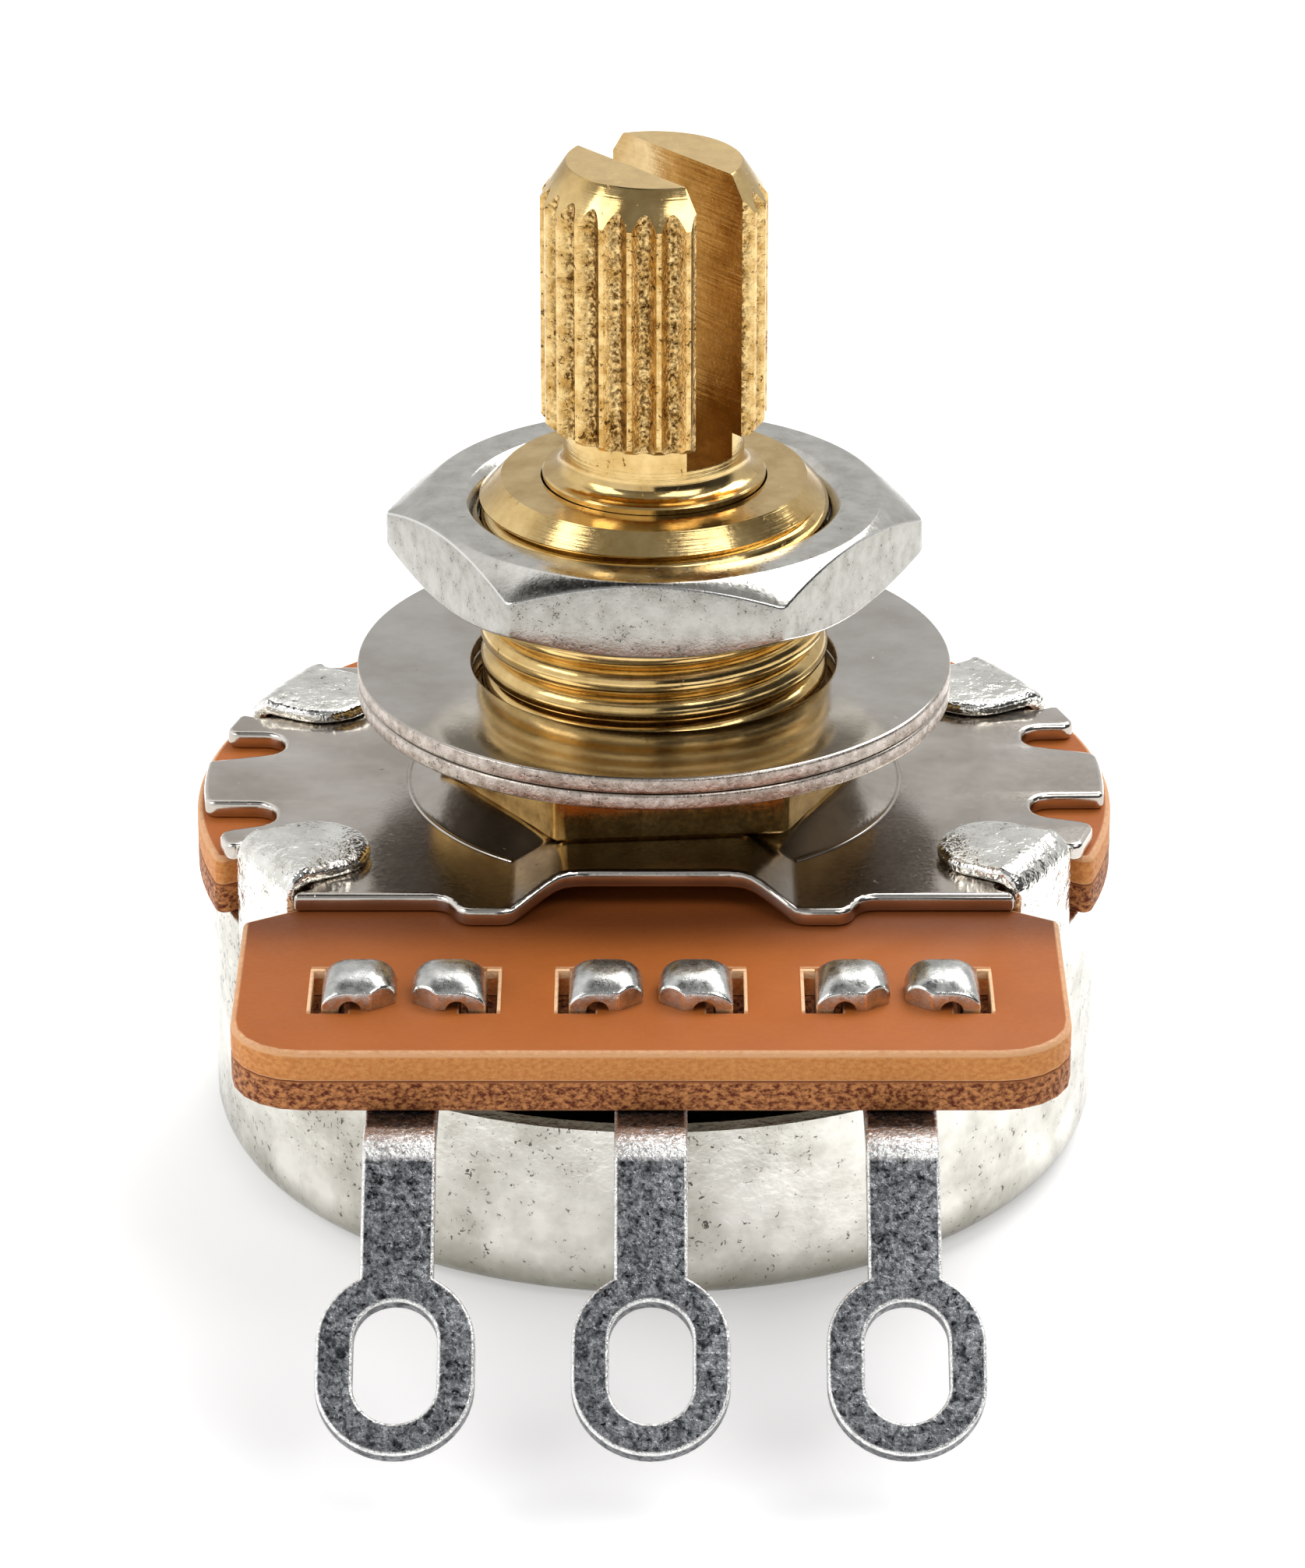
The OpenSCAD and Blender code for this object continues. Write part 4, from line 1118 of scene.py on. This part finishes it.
class POT_OT_shaft(bpy.types.Operator):
    """Turns the shaft, rolls its splines and saws its slot"""

    bl_idname = "pot.shaft"
    bl_label = "Split shaft"

    crest = 3.05
    count = 24
    facets_per_spline = 24
    groove = 0.27
    groove_part = 10 / 24
    tip_r = 2.4
    tip_h = 1.0
    # Width and height of the fine edge round the tip
    tip_edge = (0.05, 0.03)
    foot = 0.15
    length = 7.3
    neck_r = 2.45
    neck_l = 1.47
    fillet = 0.5
    fillet_steps = 8
    journal = 3.04
    journal_edge = 0.05
    # Inside the can: seat of the stop arm, stub and rivet head
    arm_seat_r = 2.4
    stub_r = 1.68
    head_r = 2.8
    head_h = 0.5
    split_half = 0.8
    split_depth = 8.0
    direction = -50.0

    def radius(self, angle):
        """Radius of the splined end at an angle, with round grooves."""
        phase = ((angle - math.radians(self.direction)) * self.count / (2 * math.pi) + 0.5) % 1 - 0.5
        across = min(abs(phase) / self.groove_part, 1.0)
        return self.crest - self.groove * (1 - across ** 2)

    def execute(self, context):
        foot_z = Z_TIP - self.length
        collar = foot_z - self.neck_l
        slope = self.tip_h / (self.crest - self.tip_r)
        split_z = Z_TIP - self.split_depth

        def shoulder(angle):
            r = self.radius(angle)
            return r, Z_TIP - (r - self.tip_r) * slope

        def heel(angle):
            r = self.radius(angle)
            return r, foot_z + max(0.0, r - (self.crest - self.foot))

        def sole(angle):
            return min(self.radius(angle), self.crest - self.foot), foot_z

        back, down = self.tip_edge
        rings = [circle(self.tip_r - back, Z_TIP), circle(self.tip_r, Z_TIP - down), shoulder, heel, sole,
                 circle(self.neck_r, foot_z)]
        rings += [circle(self.neck_r + self.fillet * (1 - math.cos(t)), collar + self.fillet * (1 - math.sin(t)))
                  for t in [math.pi / 2 * i / self.fillet_steps for i in range(self.fillet_steps + 1)]]
        rings += [circle(radius, height) for radius, height in (
            (self.journal - self.journal_edge, collar), (self.journal, collar - self.journal_edge),
            (self.journal, Z_RING), (self.arm_seat_r, Z_RING), (self.arm_seat_r, Z_ARM_TOP),
            (self.stub_r, Z_ARM_TOP), (self.stub_r, Z_RIVET + self.head_h), (self.head_r, Z_RIVET + self.head_h),
            (self.head_r, Z_RIVET))]
        slot = block((-9, -self.split_half, split_z), (9, self.split_half, Z_TIP + 1))
        rotate(slot, math.radians(self.direction), "Z")
        bm = combine(turned(self.count * self.facets_per_spline, rings), slot)
        across = Matrix.Rotation(math.radians(-self.direction), 3, "Z")

        def rolled(f):
            return foot_z < f.calc_center_median().z < Z_TIP - 0.3 and abs(f.normal.z) < 0.3

        def sawn(f):
            place = across @ f.calc_center_median()
            wall = abs(abs(place.y) - self.split_half) < 0.01 and abs((across @ f.normal).y) > 0.9
            return place.z > split_z - 0.01 and (wall or abs(place.z - split_z) < 0.01)

        def faced(f):
            return f.normal.z > 0.9 and f.calc_center_median().z > Z_TIP - 0.1

        make_piece("shaft_brass", bm, "turning_shaft", "brass", "turned brass", "shaft", sharp=28,
                   also=(("rolled brass", rolled), ("sawn brass", sawn), ("faced brass", faced)))
        return {"FINISHED"}


class POT_OT_lugs(bpy.types.Operator):
    """Stamps the three solder lugs, bends their stems and folds their prongs over the board"""

    bl_idname = "pot.lugs"
    bl_label = "Solder lugs"

    stem = 1.87
    flat = 1.1
    slope = 37.0
    length = 5.8
    eye_w = 4.0
    eye_l = 5.05
    hole_w = 2.1
    hole_l = 3.3
    # Degrees between two points of the eye, and rounding where it meets the stem
    eye_step = 7
    neck_round = 0.3
    neck_back = 0.05
    # Spacing of the cuts in the stem's bend, and places of further cuts before and behind it
    bend_step = 0.08
    cuts_before = (0.4, 0.2)
    cuts_behind = (0.12, 0.3)
    # Painted highlight on the stretched bend, as a share of a rounded edge's, and how far it reaches before and
    # behind the bend
    bend_shine = 0.8
    shine_before = 0.25
    shine_behind = 0.15
    # Cut corners of the prong's tip, across it and along it
    tip_cut = (0.5, 0.65)
    fold = 0.72
    fold_step = 9
    # How deep below the board's face the prong is drawn narrow, and how far above that face it lies
    prong_deep = 0.2
    prong_lift = 0.01
    tip_lean = 0.02
    prong_turn = 0.6
    prong_edge = 0.13
    dome = 0.4
    dome_power = 2.4
    dome_step = 0.12
    hollow = 0.3
    hollow_place = (PRONG_OUT - 0.75, PRONG_Y, Z_PLATE - 0.02)

    def execute(self, context):
        edge = context.scene.pot_sizes.sheet_edge / MM
        for x, node in zip(LUG_PLACES, LUG_NODES):
            bm = self.stem_sheet(edge)
            for side in (-1, 1):
                join(bm, self.prong(side))
            move(bm, (x, 0, 0))
            make_piece(node + "_tin", bm, "housing", "tinned_brass", "dull lug tin", node,
                       also=(("burnished tin", lambda f: f.calc_center_median().z > Z_PLATE - 0.3),))
        return {"FINISHED"}

    def stem_sheet(self, edge):
        """Strap, stem and eye, cut flat along +Y and then bent down in front of the board."""
        back = PRONG_Y + PRONG_WIDTH / 2
        bend_y = -BAR_FRONT - self.flat
        run = back - bend_y
        inner = LUG_SHEET
        tilt = math.radians(self.slope)
        arc = (inner + LUG_SHEET / 2) * tilt
        centre = run + arc + self.length
        half, wide = self.stem / 2, self.eye_w / 2
        ends = (self.eye_l - self.eye_w) / 2
        neck = centre - ends - math.sqrt(wide ** 2 - half ** 2) - self.neck_back
        left = [(-PRONG_HALF, 0, 0), (-PRONG_HALF, PRONG_WIDTH, 0), (-half, PRONG_WIDTH, 0),
                (-half, neck, self.neck_round)]
        right = [(-x, y, r) for x, y, r in left[::-1]]
        bm = sheet(rounded(left + self.round_end(centre, wide, ends, half) + right), LUG_SHEET, edge)
        bm = self.pierce(bm, centre, edge)
        slice_sheet(bm, ALONG_Y, span(run, run + arc, self.bend_step) + [run - c for c in self.cuts_before]
                    + [run + arc + c for c in self.cuts_behind])
        # The bend is marked like a rounded edge, which paints a highlight along it
        layer = bm.verts.layers.float.get("edge")
        for v in bm.verts:
            if run - self.shine_before < v.co.y < run + arc + self.shine_behind:
                v[layer] = max(v[layer], self.bend_shine)

        def place(co):
            across, along, depth = co
            if along <= run:
                return Vector((across, back - along, LUG_LOW + depth))
            t = min((along - run) / arc, 1.0) * tilt
            rest = max(along - run - arc, 0.0)
            radius = inner + depth
            y = bend_y - radius * math.sin(t) - rest * math.cos(t)
            z = LUG_LOW - inner + radius * math.cos(t) - rest * math.sin(t)
            return Vector((across, y, z))

        bend(bm, place)
        return bm

    def round_end(self, centre, wide, ends, half):
        """Points of the eye's outer edge, from the left of the stem round to its right."""
        open_a = math.degrees(math.asin(half / wide))
        runs = ((270 - open_a, 180, centre - ends), (180, 0, centre + ends), (360, 270 + open_a, centre - ends))
        return [(*polar(wide, a, 0.0, y), 0) for start, end, y in runs for a in span(start, end, self.eye_step)]

    def pierce(self, bm, centre, edge):
        """Punches the wire hole and rounds its edges."""
        half = self.hole_w / 2
        ends = (self.hole_l - self.hole_w) / 2
        # The second run starts just past 180 degrees, so that the two never share a point
        runs = ((0, 180, centre + ends), (180.001, 360, centre - ends))
        points = [(*polar(half, a, 0.0, y), -1)
                  for start, end, y in runs for a in span(start, end, self.eye_step)]
        bm = combine(bm, prism(points, (0, 0, 3)))

        def beside(co):
            return math.hypot(co.x, max(abs(co.y - centre) - ends, 0)) < half + 0.05

        mark_rounding(bm, soften(bm, sharp_edges(bm, RIM_TURN, beside), edge, 3))
        return bm

    def prong(self, side):
        """One prong: up through its slot, folded over and pressed on the board, with its tip's corners cut."""
        fold, step = self.fold, self.fold_step
        turn_z = PRONG_TOP - fold
        inside = PRONG_OUT - LUG_SHEET
        deep = Z_PLATE - self.prong_deep
        rest = Z_PLATE + self.prong_lift
        half = PRONG_WIDTH / 2
        profile = [(inside, LUG_LOW), (PRONG_OUT, LUG_LOW), (PRONG_OUT, deep)]
        profile += [polar(fold, t, PRONG_OUT - fold, turn_z) for t in span(0, 90, step)]
        profile += [polar(fold, t, PRONG_TIP + fold, turn_z) for t in span(90, 175, step)]
        profile += [(PRONG_TIP + self.tip_lean, rest), (inside, rest), (inside, deep)]
        bm = prism([(x, PRONG_Y - half, z) for x, z in profile], (0, PRONG_WIDTH, 0))
        across_cut, along_cut = self.tip_cut
        for turn in (-1, 1):
            cut(bm, (PRONG_TIP + along_cut, PRONG_Y + turn * half, 0), (-across_cut, turn * along_cut, 0),
                clear=True)
        bmesh.ops.recalc_face_normals(bm, faces=bm.faces)
        rims = [e for e in sharp_edges(bm, self.prong_turn, lambda co: co.z > deep - 0.01)
                if max(v.co.z for v in e.verts) > Z_PLATE + 0.05]
        mark_rounding(bm, soften(bm, rims, self.prong_edge, 4, clamp=True))
        slice_sheet(bm, ALONG_Y, span(PRONG_Y - half, PRONG_Y + half, self.dome_step)[1:-1])

        def drop(co):
            share = (abs(co.y - PRONG_Y) / half) ** self.dome_power
            height = co.z - Z_PLATE
            return Vector((co.x, co.y, Z_PLATE + height * (1 - self.dome * share) if height > 0 else co.z))

        bend(bm, drop)
        loop = rod(self.hollow, -half - 1, half + 1, 32)
        rotate(loop, math.pi / 2, "X")
        move(loop, self.hollow_place)
        bm = combine(bm, loop)
        bmesh.ops.scale(bm, vec=(side, 1, 1), verts=bm.verts)
        return bm


class POT_OT_inner_works(bpy.types.Operator):
    """Gives the pieces inside the can their finishes"""

    bl_idname = "pot.inner_works"
    bl_label = "Inner works"

    looks = {
        "retaining_ring": "washer steel",
        "stop_arm": "satin plate steel",
        "rotor": "natural nylon",
        "wiper": "spring bronze",
        "resistance_track": "carbon print",
        "left_end_pad": "silver print",
        "right_end_pad": "silver print",
        "collector_ring": "silver print",
    }

    def execute(self, context):
        for node, look in self.looks.items():
            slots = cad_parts[node].data.materials
            slots.clear()
            slots.append(finish(look))
        return {"FINISHED"}


class POT_OT_stage(bpy.types.Operator):
    """Sets the pale floor, the studio light and the camera"""

    bl_idname = "pot.stage"
    bl_label = "Stage"

    eye = (-0.04, -163.77, 84.42)
    pitch = 24.52
    lens = 149.03
    long_side = 36.0
    # Lamps: angle from the front towards the right, elevation, width and height in millimetres, and watts
    lamps = {"key": (140, 53, 150, 150, 0.32), "left_window": (-71, 41, 105, 120, 0.11),
             "right_window": (44, 51, 130, 100, 0.12)}
    lamp_distance = 222.0
    lamp_aim = (0, 0, 10)
    floor_half = 2000.0
    floor_drop = 0.02
    floor_glow = 0.4
    dark_patch = (-0.17, 0.13, 0.977)

    def execute(self, context):
        scene = context.scene
        scene.view_settings.view_transform = "Standard"
        self.floor(scene)
        self.surround(scene)
        for name, settings in self.lamps.items():
            self.lamp(scene, name, *settings)
        camera = bpy.data.objects.new("camera", bpy.data.cameras.new("camera"))
        camera.data.sensor_fit = "VERTICAL"
        camera.data.sensor_height = self.long_side
        camera.data.lens = self.lens
        camera.data.clip_start = 0.01
        camera.location = [c * MM for c in self.eye]
        camera.rotation_euler = (math.radians(90 - self.pitch), 0, 0)
        scene.collection.objects.link(camera)
        scene.camera = camera
        return {"FINISHED"}

    def floor(self, scene):
        """A wide pale floor. To the camera and to reflections it also glows a little, so that it shows white
        and still keeps its shadow."""
        bm = bmesh.new()
        bmesh.ops.create_grid(bm, x_segments=1, y_segments=1, size=self.floor_half * MM)
        mesh = bpy.data.meshes.new("floor")
        bm.to_mesh(mesh)
        bm.free()
        # Matt white card that takes the part's soft shadow
        material, tree, shader, place = blank_material("white card")
        shader.inputs["Base Color"].default_value = srgb("#F0F0F0")
        shader.inputs["Roughness"].default_value = 0.9
        shader.inputs["Specular IOR Level"].default_value = 0.1
        path = add(tree, "LightPath").node.outputs
        seen = add(tree, "Math", {0: path["Is Camera Ray"], 1: path["Is Glossy Ray"]}, operation="MAXIMUM")
        share = add(tree, "Math", {0: seen, 1: self.floor_glow}, operation="MULTIPLY")
        glow = add(tree, "Emission", {"Color": WHITE, "Strength": share})
        mixed = add(tree, "AddShader", {0: shader.outputs[0], 1: glow})
        tree.links.new(mixed, tree.nodes["Material Output"].inputs["Surface"])
        mesh.materials.append(material)
        floor = bpy.data.objects.new("floor", mesh)
        floor.location.z = -self.floor_drop * MM
        scene.collection.objects.link(floor)

    def surround(self, scene):
        """White to the camera. For light and reflections a room: pale walls, dark on the right, a bright left
        half in front beside a dark right half, and a dim ceiling, bright at the back, with a dark patch."""
        world = bpy.data.worlds.new("studio")
        scene.world = world
        world.use_nodes = True
        tree = world.node_tree
        heading = add(tree, "TexCoord", out="Generated")
        x, y, z = add(tree, "SeparateXYZ", {"Vector": heading}).node.outputs
        overhead = add(tree, "VectorMath", {0: heading, 1: self.dark_patch}, operation="DOT_PRODUCT")
        room = {}
        # Each fades along a direction between two places, from one level to another
        for name, along, start, end, low, high in (
                ("ceiling", z, 0.5, 0.85, 0.0, 1.0), ("ceiling light", y, 0.2, 0.4, 0.28, 1.1),
                ("patch", overhead, 0.96, 0.98, 0.0, 1.0), ("far left", x, -0.45, -0.8, 0.0, 1.0),
                ("right", x, 0.4, 0.6, 0.0, 1.0), ("not back", y, 0.5, 0.2, 0.0, 1.0),
                ("front", y, -0.2, -0.45, 0.0, 1.0), ("halves", x, -0.01, 0.01, 0.85, 0.04),
                ("above", z, 0.42, 0.55, 0.0, 1.0)):
            room[name] = add(tree, "MapRange", {"Value": along, "From Min": start, "From Max": end, "To Min": low,
                                                "To Max": high}, interpolation_type="SMOOTHSTEP")
        room["shade"] = add(tree, "Math", {0: room["right"], 1: room["not back"]}, operation="MULTIPLY")
        # Each blends two levels by a fade, and the last is the strength of the whole room
        for name, factor, first, second in (
                ("walls", "far left", 0.64, 1.0), ("walls", "shade", "walls", 0.06),
                ("ahead", "above", "halves", 0.18), ("sides", "front", "walls", "ahead"),
                ("strength", "ceiling", "sides", "ceiling light"), ("strength", "patch", "strength", 0.02)):
            room[name] = add(tree, "Mix", {"Factor": room[factor], NUMBER_A: room.get(first, first),
                                           NUMBER_B: room.get(second, second)}, data_type="FLOAT")
        background = tree.nodes["Background"]
        background.inputs["Color"].default_value = WHITE
        tree.links.new(room["strength"], background.inputs["Strength"])
        white = add(tree, "Background", {"Color": WHITE, "Strength": 1.0})
        seen = add(tree, "LightPath", out="Is Camera Ray")
        mixed = add(tree, "MixShader", {0: seen, 1: background.outputs[0], 2: white})
        tree.links.new(mixed, tree.nodes["World Output"].inputs["Surface"])

    def lamp(self, scene, name, turn, rise, width, height, power):
        """A soft oblong lamp that looks at the part."""
        data = bpy.data.lights.new(name, "AREA")
        data.shape = "RECTANGLE"
        data.size, data.size_y = width * MM, height * MM
        data.energy = power
        lamp = bpy.data.objects.new(name, data)
        turn, rise = math.radians(turn), math.radians(rise)
        heading = Vector((math.sin(turn) * math.cos(rise), -math.cos(turn) * math.cos(rise), math.sin(rise)))
        aim = Vector(self.lamp_aim) * MM
        lamp.location = aim + heading * self.lamp_distance * MM
        lamp.rotation_euler = (aim - lamp.location).to_track_quat("-Z", "Y").to_euler()
        scene.collection.objects.link(lamp)


class POT_PT_panel(bpy.types.Panel):
    """Lists the potentiometer's sizes, finishes and pieces"""

    bl_idname = "POT_PT_panel"
    bl_label = "Potentiometer"
    bl_space_type = "VIEW_3D"
    bl_region_type = "UI"
    bl_category = "Potentiometer"

    def draw(self, context):
        column = self.layout.column()
        for group in (context.scene.pot_sizes, context.scene.pot_finishes):
            for key in group.__annotations__:
                column.prop(group, key)
        for operator in OPERATORS:
            column.operator(operator.bl_idname)


OPERATORS = (POT_OT_cover, POT_OT_boards, POT_OT_front_plate, POT_OT_bushing, POT_OT_washers, POT_OT_nut,
             POT_OT_shaft, POT_OT_lugs, POT_OT_inner_works, POT_OT_stage)
CLASSES = (PotSizes, PotFinishes) + OPERATORS + (POT_PT_panel,)


def register():
    """Registers the classes and hangs the settings on the scene."""
    for cls in CLASSES:
        bpy.utils.register_class(cls)
    bpy.types.Scene.pot_sizes = bpy.props.PointerProperty(type=PotSizes)
    bpy.types.Scene.pot_finishes = bpy.props.PointerProperty(type=PotFinishes)


def unregister():
    """Takes the settings and the classes away again."""
    del bpy.types.Scene.pot_finishes
    del bpy.types.Scene.pot_sizes
    for cls in reversed(CLASSES):
        bpy.utils.unregister_class(cls)


def main():
    """Builds every piece in order."""
    register()
    for operator in OPERATORS:
        group, name = operator.bl_idname.split(".")
        getattr(getattr(bpy.ops, group), name)()


if __name__ == "__main__":
    main()
